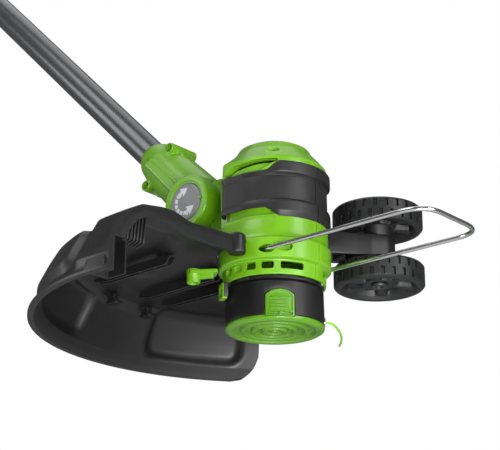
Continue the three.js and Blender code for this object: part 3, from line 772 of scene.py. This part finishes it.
def wheel(name, bottom, body, hub_low, hub_high):
    low, high = hub_low - bottom, hub_high - bottom
    bore = AXLE_R + 0.25
    face = [(10.6, 3.0, 0.6), (11.8, 3.8, 0)]
    face += [(r, 3.8 - 0.05 * (r - 12), 0) for r in (13.2, 14, 15, 16.6, 18.6, 20.8, 22.6, 23.6, 24.4)]
    face += [(25.4, 2.8, 0.4), (26.8, 0.8, 0.6), (27.8, 0.1, 0.5), (29.4, 0.1, 2.0), (31.2, 0.9, 1.2),
             (32.3, 2.1, 0.8)]
    tread = [(WHEEL_R, z, 0)
             for z in (2.6, 3.1, 3.6, 6.2, 6.8, 7.2, 7.7, 9.9, 10.4, 10.9, 11.4, 14, 14.5, 15)]
    back = [(r, WHEEL_W - z, rest) for r, z, rest in reversed(face)]
    outline = [(bore, low, 0.3), (9.4, low, 0.8), *face, *tread, *back, (9.4, high, 0.8), (bore, high, 0.3)]
    made = lathe(outline, 0, 0.5, place=WHEEL_PLACE @ at(z=bottom), angles=wheel_angles(), steps=3,
                 shape=wheel_shape, name=name)
    finish(made, TYRE, body, body, sharp=28)


def wheel_set():
    wheel("tyre_lower", 39.3, "wheel_lower", 43.6, 60.7)
    wheel("tyre_upper", 82.1, "wheel_upper", 77.9, 95.4)
    plan = [(31, -4, 0), (56, -8.2, 20), (70, -11, 10), (83, -11.4, 9), (91.6, -6.6, 6), (91.6, 6.6, 6),
            (83, 11.4, 9), (70, 12.4, 10), (52, 16.5, 20), (31, 22, 0)]
    turn = spin(WHEEL_ANGLE)
    arm = soften(slab(plan, 61, 77.6, turn, corner=1, name="bracket_arm"), 1.0, 3)
    hollow = slab([(43, -3), (68, -8), (68, 9), (43, 15)], 58, 73.6, turn, corner=2)
    ribs = [block(x - 0.8, x + 0.8, -7, 14, 62, 75, turn) for x in (51, 60)]
    cut(arm, hollow)
    union(arm, *[common(rib, slab(plan, 61.6, 76, turn)) for rib in ribs])
    cut(arm, rod(AXLE_R + 0.3, 0, 120, WHEEL_PLACE), rod(BODY_R + 0.3, 50, 72, segments=96),
        rod(39.7, 71, 100, segments=96))
    finish(soften(arm, 0.3, 2, 45), BLACK, "head", "wheel_bracket")
    axle = lathe([(0, 46), (2.6, 46, 0.3), (2.9, 41.3, 0.4), (5.6, 41.1, 0.6), (6, 43.3, 0.3),
                  (AXLE_R, 43.3), (AXLE_R, 95.7), (6, 95.7, 0.3), (5.6, 97.9, 0.6), (2.9, 97.7, 0.4),
                  (2.6, 93, 0.3), (0, 93)], 48, 0.2, place=WHEEL_PLACE, name="axle_pin")
    finish(axle, DARK_STEEL, "head", "wheel_axle")


def wire_guard():
    loop = [(14, -32.7, WIRE_Z), (147.9, -32.7, WIRE_Z), (147.9, 32.7, WIRE_Z), (14, 32.7, WIRE_Z)]
    wire = sweep(resampled(bent(loop, 19, 14), 12), 1.6, 20, name="wire_guard_rod")
    finish(wire, WIRE_STEEL, "wire_guard", "wire_guard", sharp=60)


# ---------------------------------------------------------------- spool
LATCH_ANGLES = (-44, 136)
EXIT_ANGLE, EXIT_Z = 42, 7.6


def spool():
    cup = lathe([(30.6, 4.1, 0.2), (34.1, 4.1, 0.4), (34.2, 7, 2), (33.8, 27.4, 1.2), (32.4, 29, 0.8),
                 (5.6, 29, 0.2), (5.6, 26.6, 0.2), (30.6, 26.6, 0.6)], 160, 0.4, name="spool_shell")
    tools = [block(28, 40, -10.3, 10.3, 2, 17.4, spin(a)) for a in LATCH_ANGLES]
    tools += [arch_tool(a) for a in LATCH_ANGLES]
    tools.append(rod(3.4, -8, 12, spin(EXIT_ANGLE) @ at(34, 0, EXIT_Z) @ ALONG_X))
    cut(cup, *tools)
    finish(soften(cup, 0.3, 2, 45), BLACK, "spool", "spool_housing", sharp=40)

    def castle(degrees, r, z):
        if r > 31.5 and z > 30.2:
            slotted = window((degrees + 15) % 30, 4, 22, 0.7)
            return r + 0.5 * slotted, z
        return r, z

    edges = [30 * k + d for k in range(12) for d in (-11.7, -11, 7, 7.7)]
    columns = sorted({3.0 * i for i in range(120)} | {a for a in edges if a >= 0})
    fan = lathe([(14.4, 29.4), (33.0, 29.4), (33.0, 30.1), (33.0, 30.6), (33.0, 31.6), (14.4, 31.6)], 0,
                0.15, angles=columns, shape=castle, name="spool_fan")
    vanes = [block(20, 32.4, -0.7, 0.7, 31, 37, spin(22.5 * i)) for i in range(16)]
    finish(union(fan, *vanes), BLACK, "spool", "fan_disc")
    eyelet = lathe([(1.5, 0, 0.5), (2.6, 0, 0.4), (3.3, 2.6, 0.3), (3.3, 3.8, 0.6), (1.6, 3.8, 0.9)], 36,
                   0.4, place=spin(EXIT_ANGLE) @ at(30.9, 0, EXIT_Z) @ ALONG_X, name="line_eyelet_ring")
    finish(eyelet, STEEL, "spool", "line_eyelet")
    spool_cap()
    for angle, node_name in zip(LATCH_ANGLES, ("cap_latch_near", "cap_latch_far")):
        cap_latch(angle, node_name)
    wound_line()


def arch_tool(angle):
    outline = [(-10.3, 17.2, 0), (10.3, 17.2, 0), (10.1, 18.4, 2), (5.8, 21.2, 6), (0, 22.2, 6),
               (-5.8, 21.2, 6), (-10.1, 18.4, 2)]
    place = spin(angle) @ Matrix.Rotation(math.pi / 2, 4, "Z")
    return slab(outline, -40, -28, place, "xz", 1)


def spool_cap():
    outline = [(0, 0.2, 0), (2.2, 0.2, 0.4), (3.0, 1.9, 0.5), (5.2, 1.9, 0.4), (6.0, 0.0, 0.6),
               (8.4, 0.0, 0.6), (9.6, 2.7, 0.7), (12.2, 2.7, 0.5), (13.2, 0.2, 0.6), (15.6, 0.2, 0.7),
               (16.8, 2.8, 0.7), (19.6, 2.8, 0.5), (20.8, 0.4, 0.7), (23.0, 0.4, 0.7), (24.2, 2.8, 0.7),
               (27.2, 2.6, 0.5), (28.4, 0.2, 0.9), (31.6, 0.0, 1.4), (34.2, 1.6, 1.2), (34.2, 3.7, 0.5),
               (30, 3.8, 0.3), (30, 9.5, 0.3), (28, 9.5, 0.3), (28, 3.7, 0.3), (0, 3.7, 0)]
    cap = lathe(outline, 160, 0.5, steps=4, name="spool_cap_rings")
    tools = [block(26.5, 40, -10.2, 10.2, 2.6, 14, spin(a)) for a in LATCH_ANGLES]
    tools.append(block(26, 32, -3.2, 3.2, 3.9, 14, spin(EXIT_ANGLE)))
    for angle in (-110, 10, 130):
        tools.append(block(24.8, 26.8, -1.6, 1.6, -1, 2.9, spin(angle), 0.4))
    cut(cap, *tools)
    finish(soften(cap, 0.2, 1, 45), CAP_GREEN, "spool_cap", "spool_cap", sharp=40)


def wrapped(obj, angle, radius):
    """Bends a flat piece drawn in x and z, with y its depth, round a vertical cylinder."""
    for vertex in obj.data.vertices:
        x, y, z = (c / MM for c in vertex.co)
        r = radius + y
        a = math.radians(angle) + x / radius
        vertex.co = Vector((r * math.cos(a), r * math.sin(a), z)) * MM
    return obj


def divided(obj):
    """More edges across a flat piece, so that it bends smoothly."""
    bm = bmesh.new()
    bm.from_mesh(obj.data)
    for k in range(-12, 13):
        everything = bm.verts[:] + bm.edges[:] + bm.faces[:]
        bmesh.ops.bisect_plane(bm, geom=everything, plane_co=(k * 0.9 * MM, 0, 0), plane_no=(1, 0, 0))
    bm.to_mesh(obj.data)
    bm.free()
    return obj


def cap_latch(angle, node_name):
    """A press tab with an arched top, a raised frame, four grip ribs and a divided recess under them."""
    outline = [(-9.8, 2.9, 0.5), (9.8, 2.9, 0.5), (9.8, 17.6, 1.2), (5.6, 20.6, 6), (0, 21.5, 6),
               (-5.6, 20.6, 6), (-9.8, 17.6, 1.2)]
    tab = slab(outline, -3.2, 0.3, plane="xz", corner=0.5, name=node_name + "_tab")
    inner = [(-8.5, 6.3, 0.4), (8.5, 6.3, 0.4), (8.5, 17.0, 1.2), (5.0, 19.4, 5), (0, 20.2, 5),
             (-5.0, 19.4, 5), (-8.5, 17.0, 1.2)]
    field = slab(inner, -0.7, 3, plane="xz", corner=0.4)
    hook = [block(x0, x1, -2.1, 3, 3.5, 5.6) for x0, x1 in ((-8.6, -0.5), (0.5, 8.6))]
    cut(tab, field, *hook)
    for z in (7.6, 10.0, 12.4, 14.8):
        rib = [(-6.8, z), (6.8, z), (6.8, z + 1.1), (-6.8, z + 1.1)]
        union(tab, slab(rib, -1, 0.5, plane="xz", corner=0.5))
    soften(tab, 0.2, 2, 40)
    wrapped(divided(tab), angle, 34.2)
    finish(tab, CAP_GREEN, node_name, node_name, sharp=40)


def wound_line():
    """The stored line: its outer turns over a plain core, seen through the exit and with the cap off."""
    turns, per_turn = 6, 36
    count = turns * per_turn
    path = [polar(22.2, 10 * k, 13.6 + 8.6 * (k / count)) for k in range(count)]
    core = lathe([(11.3, 12.5), (21.0, 12.5), (21.0, 23.3), (11.3, 23.3)], 60, 0.6, name="line_core")
    coil = sweep(path, 1.0, 8, name="wound_line_turns")
    finish(union(coil, core), NYLON, "bobbin", "wound_line", sharp=50)


# ---------------------------------------------------------------- tilt collar
EAR_IN, EAR_OUT, EAR_R = 13.7, 28.0, 21.0  # the two ears' inner and outer y, and their radius
BOSS_N, BOSS_U = 17.2, 62


def collar():
    sleeve = lathe([(0, 8), (18, 8, 3), (20.2, 16, 4), (19.6, 34, 10), (18.6, 52, 8), (17.4, 68, 8),
                    (15.2, 79, 5), (12.4, 84.6, 1.5), (0, 85, 0)], 72, 1, place=SHAFT, name="collar")
    ears = lathe([(0, -EAR_OUT + 1.2), (EAR_R - 3.5, -EAR_OUT + 1.2), (EAR_R, -22.5, 2), (EAR_R, 22.5, 2),
                  (EAR_R - 3.5, EAR_OUT - 1.2), (0, EAR_OUT - 1.2)], 96, 1, place=ACROSS)
    bosses = [rod(4.4, -13.6, 13.6, crossing(side * BOSS_N, BOSS_U), 40, 0.8) for side in (-1, 1)]
    webs = [slab([(side * 8, 40), (side * 19.5, 52), (side * 19, 66), (side * 8, 70)], -6.5, 6.5, SHAFT,
                 "xz", 2) for side in (-1, 1)]
    facets = [slab([(-5, 14), (4.6, 14), (3.6, 66), (-4, 68)], side * 17.6 - 2.9, side * 17.6 + 2.9, SHAFT,
                   "xz", 1) for side in (-1, 1)]
    rib = slab([(14, 14), (19.6, 16), (18.4, 48), (14, 50)], -5.2, 5.2, SHAFT, "xz", 2)
    body = union(sleeve, ears, *bosses, *webs, *facets, rib)
    melt(body, 0.7, 5, 0.5)
    fork = rod(22.6, -EAR_IN, EAR_IN, ACROSS, 64)
    mouth = block(-26, 26, -EAR_IN, EAR_IN, -26, 6, SHAFT)
    cut(body, union(fork, mouth))
    rings = []
    for side in (-1, 1):
        ring = lathe([(14.5, 0, 0.3), (15.6, 0, 0.3), (16.4, 0.9, 0.3), (EAR_R - 1.1, 1.2, 0.6),
                      (EAR_R - 0.1, 0.2, 0.6), (EAR_R - 0.1, -5), (14.5, -5)], 144, 0.3,
                     place=ACROSS @ at(0, 0, side * (EAR_OUT - 1.4)) @ Matrix.Diagonal((1, 1, side, 1)))
        rings.append(ring)
    union(body, *rings)
    tick = block(12.6, 15, -0.5, 0.5, -EAR_OUT - 0.1, -24, ACROSS @ spin(45))
    tools = [rod(14.6, -EAR_OUT - 3, -15.4, ACROSS, 72), rod(PIVOT_BORE, -16, 26.4, ACROSS, 40),
             rod(11.8, 30.7, 90, SHAFT, 64), rod(6, 18, 40, SHAFT, 32)]
    for side in (-1, 1):
        place = crossing(side * BOSS_N, BOSS_U)
        tools.append(rod(2.4, -12, 8, place, 28))
        tools.append(rod(3.3, -16, -10.6, place, 32))
    cut(body, *tools)
    union(body, tick)
    two_shells(body, "collar_shell", "collar", 0.4, GREEN, "shaft", None, 38)
    button = lathe([(0, -EAR_OUT), (12.6, -EAR_OUT, 0.4), (14.1, -EAR_OUT + 0.5, 0.4), (14.2, -18.9, 0.3),
                    (0, -18.9)], 96, 0.3, place=ACROSS, name="tilt_button_disc")
    finish(button, GREY, "tilt_button", "tilt_button")
    symbol()
    finish(rod(5, -14.4, 26, ACROSS, 48, 0.6, name="tilt_axle_pin"), STEEL, "shaft", "tilt_axle")
    for i, side in enumerate((-1, 1)):
        place = crossing(side * BOSS_N, BOSS_U) @ TURNED_OVER
        bolt = screw(2.9, 1.0, 10.4, place)
        bolt.name = f"collar_bolt_{i + 1}"
        finish(bolt, STEEL, "shaft", f"collar_screw_{i + 1}")


def symbol():
    """A dashed arc with an arrowhead at each end, printed on the button: the head can be turned."""
    face = -EAR_OUT - 0.12
    radius, stroke = 8.6, 1.35
    pieces = []
    for start, end in ((128, 150), (157, 178), (185, 204), (211, 229), (236, 254), (261, 283)):
        steps = 8
        arcs = [start + (end - start) * k / steps for k in range(steps + 1)]
        outline = [(rr * math.cos(math.radians(a)), rr * math.sin(math.radians(a)))
                   for rr, seq in ((radius - stroke, arcs), (radius + stroke, arcs[::-1])) for a in seq]
        pieces.append(outline)
    pieces.append([(2.6, 10.2), (-5.0, 10.6), (-4.2, 9.0), (-7.6, 5.6), (-5.2, 3.6), (-2.6, 6.8),
                   (-1.4, 4.2)])
    pieces.append([(8.8, -4.6), (0.8, -4.2), (2.2, -6.0), (0.6, -9.4), (2.6, -11.2), (4.2, -8.4),
                   (5.0, -11.0)])
    made = None
    for outline in pieces:
        bit = slab(outline, face, face + 0.3, place=PIVOT, plane="xz", name="tilt_symbol")
        made = bit if made is None else union(made, bit)
    finish(made, PRINT, "tilt_button")


# ---------------------------------------------------------------- tubes and clamp
def tube(name, inner, outer, start, end, material, body, node_name):
    made = lathe([(inner, start, 0.4), (outer, start, 0.6), (outer, (start + end) / 2), (outer, end, 0.6),
                  (inner, end, 0.4)], 96, 0.4, place=SHAFT, name=name)
    finish(made, material, body, node_name, sharp=40)


def tubes():
    tube("tube_lower", 10, 11.5, 31, 700, TUBE_PAINT, "shaft", "lower_tube")
    tube("tube_upper", 12, 14, 560, 1190, TUBE_PAINT, "handle", "upper_tube")
    tube("tube_plug", 6, 11.7, 700.3, 714, BLACK, "coupler", "coupler_plug")
    tube("lead_sleeve", 2.2, 5, 35, 696, LEAD, "shaft", "lead_in_tube")


CLAMP_U = (540, 612)  # the clamp sleeve's two ends
LEVER_U, LEVER_N = 578, 25  # the lever's pin


def tube_clamp():
    start, end = CLAMP_U

    def ribbed(degrees, r, z):
        if r > 18 and start + 12 < z < end - 12:
            return r - 0.7 * window(z % 6, 2.2, 3.8, 0.6), z
        return r, z

    profile = [(11.8, start, 0.4), (15.4, start, 1.2), (19.4, start + 8, 4)]
    profile += [(20, z, 0) for z in range(start + 11, end - 10)]
    profile += [(19.4, end - 7, 4), (17, end, 1.2), (14.4, end, 0.4), (14.4, 559.7, 0.3),
                (11.8, 559.7, 0.3)]
    sleeve = lathe(profile, 80, 0.5, place=SHAFT, shape=ribbed, name="clamp_sleeve")
    lugs = []
    for y0, y1 in ((-12, -8), (8, 12)):
        lug = slab([(13, LEVER_U - 15, 0.5), (LEVER_N + 5.4, LEVER_U - 5.5, 5),
                    (LEVER_N + 5.4, LEVER_U + 5.5, 5), (13, LEVER_U + 15, 0.5)], y0, y1, SHAFT, "xz", 1)
        lugs.append(lug)
    union(sleeve, *lugs)
    pin_place = crossing(LEVER_N, LEVER_U)
    cut(sleeve, rod(UPPER_BORE, 559.7, 640, SHAFT, 80), rod(PIN_BORE, -20, 20, pin_place, 32))
    finish(soften(sleeve, 0.35, 2, 38), BLACK, "handle", "clamp_body")
    pin = lathe([(0, -12.6), (3.4, -12.6, 0.4), (3.4, -11.9), (2.5, -11.9), (2.5, 11.9), (3.4, 11.9),
                 (3.4, 12.6, 0.4), (0, 12.6)], 36, 0.1, place=pin_place, name="lever_pin_rod")
    finish(pin, STEEL, "handle", "lever_pin")
    side = [(LEVER_N - 4.3, LEVER_U - 2.6, 3), (LEVER_N + 1, LEVER_U - 4.4, 4),
            (LEVER_N + 4.3, LEVER_U + 1, 4), (30.6, LEVER_U + 26, 14), (28.6, LEVER_U + 47, 8),
            (28.4, LEVER_U + 55, 1.4), (24.6, LEVER_U + 54, 1.4), (22.6, LEVER_U + 46, 8),
            (23.4, LEVER_U + 24, 10), (LEVER_N - 4.3, LEVER_U + 5, 4)]
    lever = soften(slab(side, -7.6, 7.6, SHAFT, "xz", 2, name="cam_lever"), 1.1, 4)
    grooves = [block(29.2, 36, -5, 5, LEVER_U + u, LEVER_U + u + 1.4, SHAFT, 0.3)
               for u in (36, 39.4, 42.8, 46.2)]
    cut(lever, *grooves, rod(PIN_BORE, -20, 20, pin_place, 32))
    finish(soften(lever, 0.25, 2, 40), GREEN, "clamp_lever", "clamp_lever")


# ---------------------------------------------------------------- auxiliary handle
AUX_U, AUX_N = 880, 31  # the handle's bolt
AUX_HALF, AUX_TOP, ARM_Y = 62, 128, 17.2  # the loop's half width and height, its arms' y


def auxiliary_handle():
    sleeve = lathe([(UPPER_BORE, AUX_U - 20, 0.4), (19, AUX_U - 20, 1.2), (21, AUX_U - 15, 2),
                    (21, AUX_U + 15, 2), (19, AUX_U + 20, 1.2), (UPPER_BORE, AUX_U + 20, 0.4)], 80, 0.5,
                   place=SHAFT, name="aux_collar")
    tower = slab([(12, AUX_U - 16, 0.5), (AUX_N + 4, AUX_U - 9.4, 6), (AUX_N + 9.2, AUX_U, 9),
                  (AUX_N + 4, AUX_U + 9.4, 6), (12, AUX_U + 16, 0.5)], -14, 14, SHAFT, "xz", 2)
    union(sleeve, soften(tower, 1.2, 3))
    bolt_place = crossing(AUX_N, AUX_U)
    split = block(-30, -12, -0.8, 0.8, AUX_U - 30, AUX_U + 30, SHAFT)
    cut(sleeve, rod(UPPER_BORE, AUX_U - 30, AUX_U + 30, SHAFT, 80), rod(BOLT_BORE, -30, 30, bolt_place, 32),
        split)
    finish(soften(sleeve, 0.4, 2, 38), BLACK, "handle", "aux_clamp")
    foot, lean = AUX_N + 30, 34
    loop = bent([(foot, -ARM_Y, AUX_U + 8), (foot, -AUX_HALF, AUX_U + 12),
                 (AUX_TOP, 12 - AUX_HALF, AUX_U + lean), (AUX_TOP, AUX_HALF - 12, AUX_U + lean),
                 (foot, AUX_HALF, AUX_U + 12), (foot, ARM_Y, AUX_U + 8)], 24, 12)
    bar = sweep(resampled(loop, 6), 8.2, 28, SHAFT, name="aux_loop")
    arms = []
    for side in (-1, 1):
        outline = [(AUX_N - 8, AUX_U - 8, 9), (AUX_N + 8, AUX_U - 9, 8), (foot + 5, AUX_U - 1, 6),
                   (foot + 7, AUX_U + 15, 6), (foot - 5, AUX_U + 17, 5), (AUX_N - 6, AUX_U + 10, 9)]
        arms.append(soften(slab(outline, side * ARM_Y - 2.7, side * ARM_Y + 2.7, SHAFT, "xz", 3), 0.9, 2))
    union(bar, *arms)
    melt(bar, 1.1, 4, 0.5)
    cut(bar, rod(BOLT_BORE, -30, 30, bolt_place, 32))
    finish(bar, BLACK, "aux_handle", "aux_handle", sharp=38)
    grip_path = [(AUX_TOP, y, AUX_U + lean) for y in [-34 + 68 * k / 60 for k in range(61)]]
    grip = sweep(grip_path, 9.0, 36, SHAFT, name="aux_grip")
    for vertex in grip.data.vertices:
        local = SHAFT.inverted() @ (vertex.co / MM)
        groove = window(local.y % 8, 3.2, 4.6, 0.9)
        centre = Vector((AUX_TOP, local.y, AUX_U + lean))
        out = local - centre
        if out.length > 5:
            vertex.co = (SHAFT @ (centre + out * (1 - 0.07 * groove))) * MM
    finish(grip, RUBBER, "aux_handle", sharp=50)
    bolt = lathe([(0, -24.4), (6.4, -24.4, 0.6), (6.4, -20.4, 0.4), (3, -20.4), (3, 30.8, 0.5), (0, 30.8)],
                 48, 0.2, place=bolt_place, name="aux_bolt_rod")
    cut(bolt, lathe([(0, -26), (3.2, -26), (3.2, -22), (0, -22)], 6, 0, place=bolt_place))
    finish(bolt, STEEL, "handle", "aux_bolt")

    def lobed(degrees, r, z):
        return (r - 1.7 * (0.5 - 0.5 * math.cos(math.radians(6 * degrees))) * ease(r, 9, 12), z)

    knob = lathe([(3.35, 20.4, 0.3), (11, 20.4, 1), (13, 22, 1), (13, 30, 2), (11, 33, 1.5), (4, 33, 1),
                  (0, 32.4), (0, 31.5), (3.35, 31.5, 0.2)], 108, 0.5, place=bolt_place, shape=lobed,
                 name="aux_knob_lobed")
    finish(knob, BLACK, "aux_knob", "aux_knob")


# ---------------------------------------------------------------- rear handle and battery
GRIP_START, GRIP_END, GRIP_TAIL = 1150, 1345, 1425  # where the grip and the battery housing start and end


def rear_handle():
    outline = [(-19, GRIP_START, 3), (19, GRIP_START, 3), (19.5, 1200, 12), (25, 1214, 8), (25.5, 1240, 10),
               (20.6, 1258, 16), (20, 1322, 14), (29, GRIP_END - 2, 10), (29, 1360, 0), (-40, 1360, 0),
               (-43, GRIP_END, 8), (-34, 1331, 8), (-24, 1321, 8), (-17.6, 1300, 20), (-17, 1242, 12),
               (-25.6, 1223, 6), (-25.6, 1205, 6), (-19, 1195, 8)]
    grip = slab(outline, -17, 17, SHAFT, "xz", 3, name="handle")
    tail = soften(block(-44, 38, -36, 36, GRIP_END, GRIP_TAIL, SHAFT, 9), 5, 4, 50)
    cheeks = lathe([(0, -19.5), (19, -19.5, 4), (22, -14, 3), (22, 14, 3), (19, 19.5, 4), (0, 19.5)], 64, 1,
                   place=crossing(0, 1222))
    body = union(grip, tail, cheeks)
    melt(body, 1.5, 8, 0.6)
    tools = [rod(UPPER_BORE, GRIP_START - 20, 1190.3, SHAFT, 72), rod(6, 1180, 1200, SHAFT, 32),
             block(-12, 14, -12, 12, 1196, GRIP_END - 6, SHAFT, 2),
             block(-36.4, 30.4, -29.4, 29.4, GRIP_END + 5, GRIP_TAIL + 9, SHAFT, 3),
             block(-44, -11, -7.4, 7.4, 1226, 1288, SHAFT, 1.5),
             block(12, 40, -6.4, 6.4, 1216, 1238, SHAFT, 1.5),
             block(8, 18.4, -8.6, 8.6, 1215.6, 1238.4, SHAFT, 1),
             block(-8, 8, -8, 8, GRIP_END - 8, GRIP_END + 6, SHAFT, 1),
             block(28, 46, -9, 9, GRIP_END + 40, GRIP_TAIL + 9, SHAFT, 1)]
    for side in (-1, 1):
        for u in (1372, 1380, 1388, 1396):
            y0, y1 = sorted((side * 33.8, side * 40))
            tools.append(block(-22, 16, y0, y1, u, u + 3, SHAFT, 0.8))
    for n, u in ((-12, 1168), (12, 1262), (-12, 1312), (-34, 1356), (30, 1356)):
        y1 = -13 if u < 1330 else -31
        tools.append(rod(3.6, y1 - 12, y1, crossing(n, u), 32))
    cut(body, *tools)
    two_shells(body, "rear_handle", "handle", 0.4, GREEN, "handle", (0.4, 2, 50), 40)
    overmould()
    side = [(-11.6, 1228, 0.5), (-17, 1226.8, 1), (-26.6, 1233, 5), (-28.6, 1246, 8), (-24.6, 1262, 10),
            (-25.8, 1275, 6), (-22, 1283.4, 3), (-15, 1282, 2), (-12.4, 1270, 4)]
    trigger = soften(slab(side, -7, 7, SHAFT, "xz", 1, name="trigger_blade"), 1.6, 4, 40)
    dimples = [rod(2.2, -4, 4, crossing(-29.5 + 0.08 * k * k, 1241 + 6 * k), 24) for k in range(4)]
    cut(trigger, *dimples)
    finish(soften(trigger, 0.3, 2, 40), BLACK, "trigger", "trigger")
    button = block(14.6, 27.4, -6, 6, 1217, 1237, SHAFT, 2.5, name="lock_off_cap")
    union(button, block(14.6, 18, -8, 8, 1217, 1237, SHAFT, 1))
    ridges = [block(26.4, 28.2, -4.4, 4.4, u, u + 1.3, SHAFT, 0.5) for u in (1221, 1224, 1227, 1230, 1233)]
    union(soften(button, 0.8, 3, 40), *ridges)
    finish(soften(button, 0.2, 1, 45), BLACK, "lock_off_button", "lock_off_button")
    switch = soften(block(-6, 8, -8, 8, 1250, 1284, SHAFT, 1, name="switch_body"), 0.6, 2)
    finish(switch, BLACK, "handle", "trigger_switch")


def overmould():
    """The soft black pad on the underside and back of the grip, ribbed across."""
    rows = []
    top, bottom = 1246.0, 1316.0
    steps = 84
    for i in range(steps + 1):
        t = i / steps
        u = top + (bottom - top) * t
        swell = 1.1 * ease(t, 0, 0.06) * (1 - ease(t, 0.94, 1))
        groove = 0.5 * window(u % 6.5, 2.6, 3.6, 0.7)
        front = 20.2 + 3.2 * (1 - ease(u, 1246, 1262)) + 4.6 * ease(u, 1306, 1330)
        depth = front + swell - groove
        half = 12.5 * (0.75 + 0.25 * math.sin(math.pi * min(1, max(0, t))))
        rows.append([(front - 3.2, -half, u), (front - 0.4, -half, u), (depth - 0.35, -half + 2.2, u),
                     (depth, -half * 0.45, u), (depth + 0.05, 0, u), (depth, half * 0.45, u),
                     (depth - 0.35, half - 2.2, u), (front - 0.4, half, u), (front - 3.2, half, u)])
    pad = grid(rows, closed=False, place=SHAFT, name="grip_pad")
    finish(pad, RUBBER, "handle", sharp=50)


def battery():
    pack = soften(block(-36, 30, -29, 29, GRIP_END + 14, GRIP_TAIL + 34, SHAFT, 3, name="battery_case"),
                  1.2, 2)
    foot = soften(block(-40, 34, -33, 33, GRIP_TAIL + 0.4, GRIP_TAIL + 36, SHAFT, 9), 4, 4, 50)
    union(pack, foot)
    tools = [block(26, 44, -8.4, 8.4, GRIP_TAIL + 4, GRIP_TAIL + 22, SHAFT, 1),
             block(-14, 14, -11, 11, GRIP_END + 12, GRIP_END + 24, SHAFT, 1)]
    for side in (-1, 1):
        for u in (9, 15, 21):
            y0, y1 = sorted((side * 31.8, side * 38))
            tools.append(block(-26, 20, y0, y1, GRIP_TAIL + u, GRIP_TAIL + u + 2.6, SHAFT, 0.8))
    cut(pack, *tools)
    finish(soften(pack, 0.4, 2, 42), BLACK, "battery", "battery_pack")
    latch = soften(block(29.2, 36.2, -8, 8, GRIP_TAIL + 4.4, GRIP_TAIL + 21.6, SHAFT, 1.5,
                         name="battery_latch_key"), 0.9, 3)
    grooves = [block(35.3, 40, -5.4, 5.4, GRIP_TAIL + u, GRIP_TAIL + u + 1.3, SHAFT, 0.4)
               for u in (8, 11, 14, 17)]
    finish(soften(cut(latch, *grooves), 0.2, 2, 42), GREEN, "battery_latch", "battery_latch")


def carry_over():
    """CAD nodes that are right as they are, hidden inside the shells for the most part."""
    for name, material in (
        ("motor_can", STEEL), ("motor_plate", BLACK), ("drive_shaft", STEEL), ("guard_screw", STEEL),
        ("spool_spring", STEEL), ("spool_hub", BLACK), ("bobbin", BLACK), ("terminal_block", BLACK),
    ):
        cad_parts[name].data.materials.clear()
        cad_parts[name].data.materials.append(material)


# ---------------------------------------------------------------- studio
WHITE = (1, 1, 1, 1)
FLOOR_Z = -0.62
FLOOR_GLOW, SKY_LIGHT = 0.55, 0.13  # the floor glows for the camera only


def studio():
    bm = bmesh.new()
    bmesh.ops.create_grid(bm, x_segments=8, y_segments=8, size=6)
    bm.transform(Matrix.Translation((-0.5, 0, FLOOR_Z)))
    mesh = bpy.data.meshes.new("floor")
    bm.to_mesh(mesh)
    bm.free()
    lit = FLOOR.node_tree.nodes["Principled BSDF"]
    lit.inputs["Emission Color"].default_value = WHITE
    direct = node(FLOOR.node_tree, "LightPath")
    level = node(FLOOR.node_tree, "Math", {1: FLOOR_GLOW}, operation="MULTIPLY")
    FLOOR.node_tree.links.new(direct.outputs["Is Camera Ray"], level.inputs[0])
    FLOOR.node_tree.links.new(level.outputs[0], lit.inputs["Emission Strength"])
    mesh.materials.append(FLOOR)
    link_mesh("floor", mesh)
    world = bpy.data.worlds.new("studio")
    world.use_nodes = True
    scene.world = world
    sky = world.node_tree.nodes["Background"]
    sky.inputs["Color"].default_value = WHITE
    sky.inputs["Strength"].default_value = SKY_LIGHT
    seen = node(world.node_tree, "Background", {"Color": WHITE, "Strength": 1.0})
    which = node(world.node_tree, "LightPath")
    mix = node(world.node_tree, "MixShader")
    link = world.node_tree.links.new
    link(which.outputs["Is Camera Ray"], mix.inputs["Fac"])
    link(sky.outputs["Background"], mix.inputs[1])
    link(seen.outputs["Background"], mix.inputs[2])
    link(mix.outputs["Shader"], world.node_tree.nodes["World Output"].inputs["Surface"])
    for name, place, target, size, power in LAMPS:
        data = bpy.data.lights.new(name, "AREA")
        data.shape = "RECTANGLE"
        data.size, data.size_y = size
        data.energy = power
        lamp = bpy.data.objects.new(name, data)
        lamp.location = place
        lamp.visible_camera = False
        aim = Vector(target) - Vector(place)
        lamp.rotation_euler = aim.to_track_quat("-Z", "Y").to_euler()
        scene.collection.objects.link(lamp)
    scene.view_settings.view_transform = "Standard"
    scene.view_settings.look = "None"


LAMPS = (
    ("key", (-0.25, -1.1, 1.3), (0, 0, 0.05), (0.9, 0.9), 9),
    ("right", (1.3, 0.05, 0.25), (0, 0, 0.05), (0.5, 1.2), 10),
    ("left", (-1.2, -0.9, 0.1), (0, 0, 0.05), (0.5, 1.2), 7),
    ("under", (0.8, -0.55, -0.32), (-0.06, -0.05, 0.04), (0.5, 0.35), 13),
    ("top", (-0.5, 0.4, 2.2), (-0.4, 0, 0.4), (1.8, 1.4), 10),
)

MAKERS = (motor_housing, housing_band, guard, guard_bracket, wheel_set, wire_guard, spool, collar, tubes,
          tube_clamp, auxiliary_handle, rear_handle, battery, carry_over, studio)
for build in MAKERS:
    build()
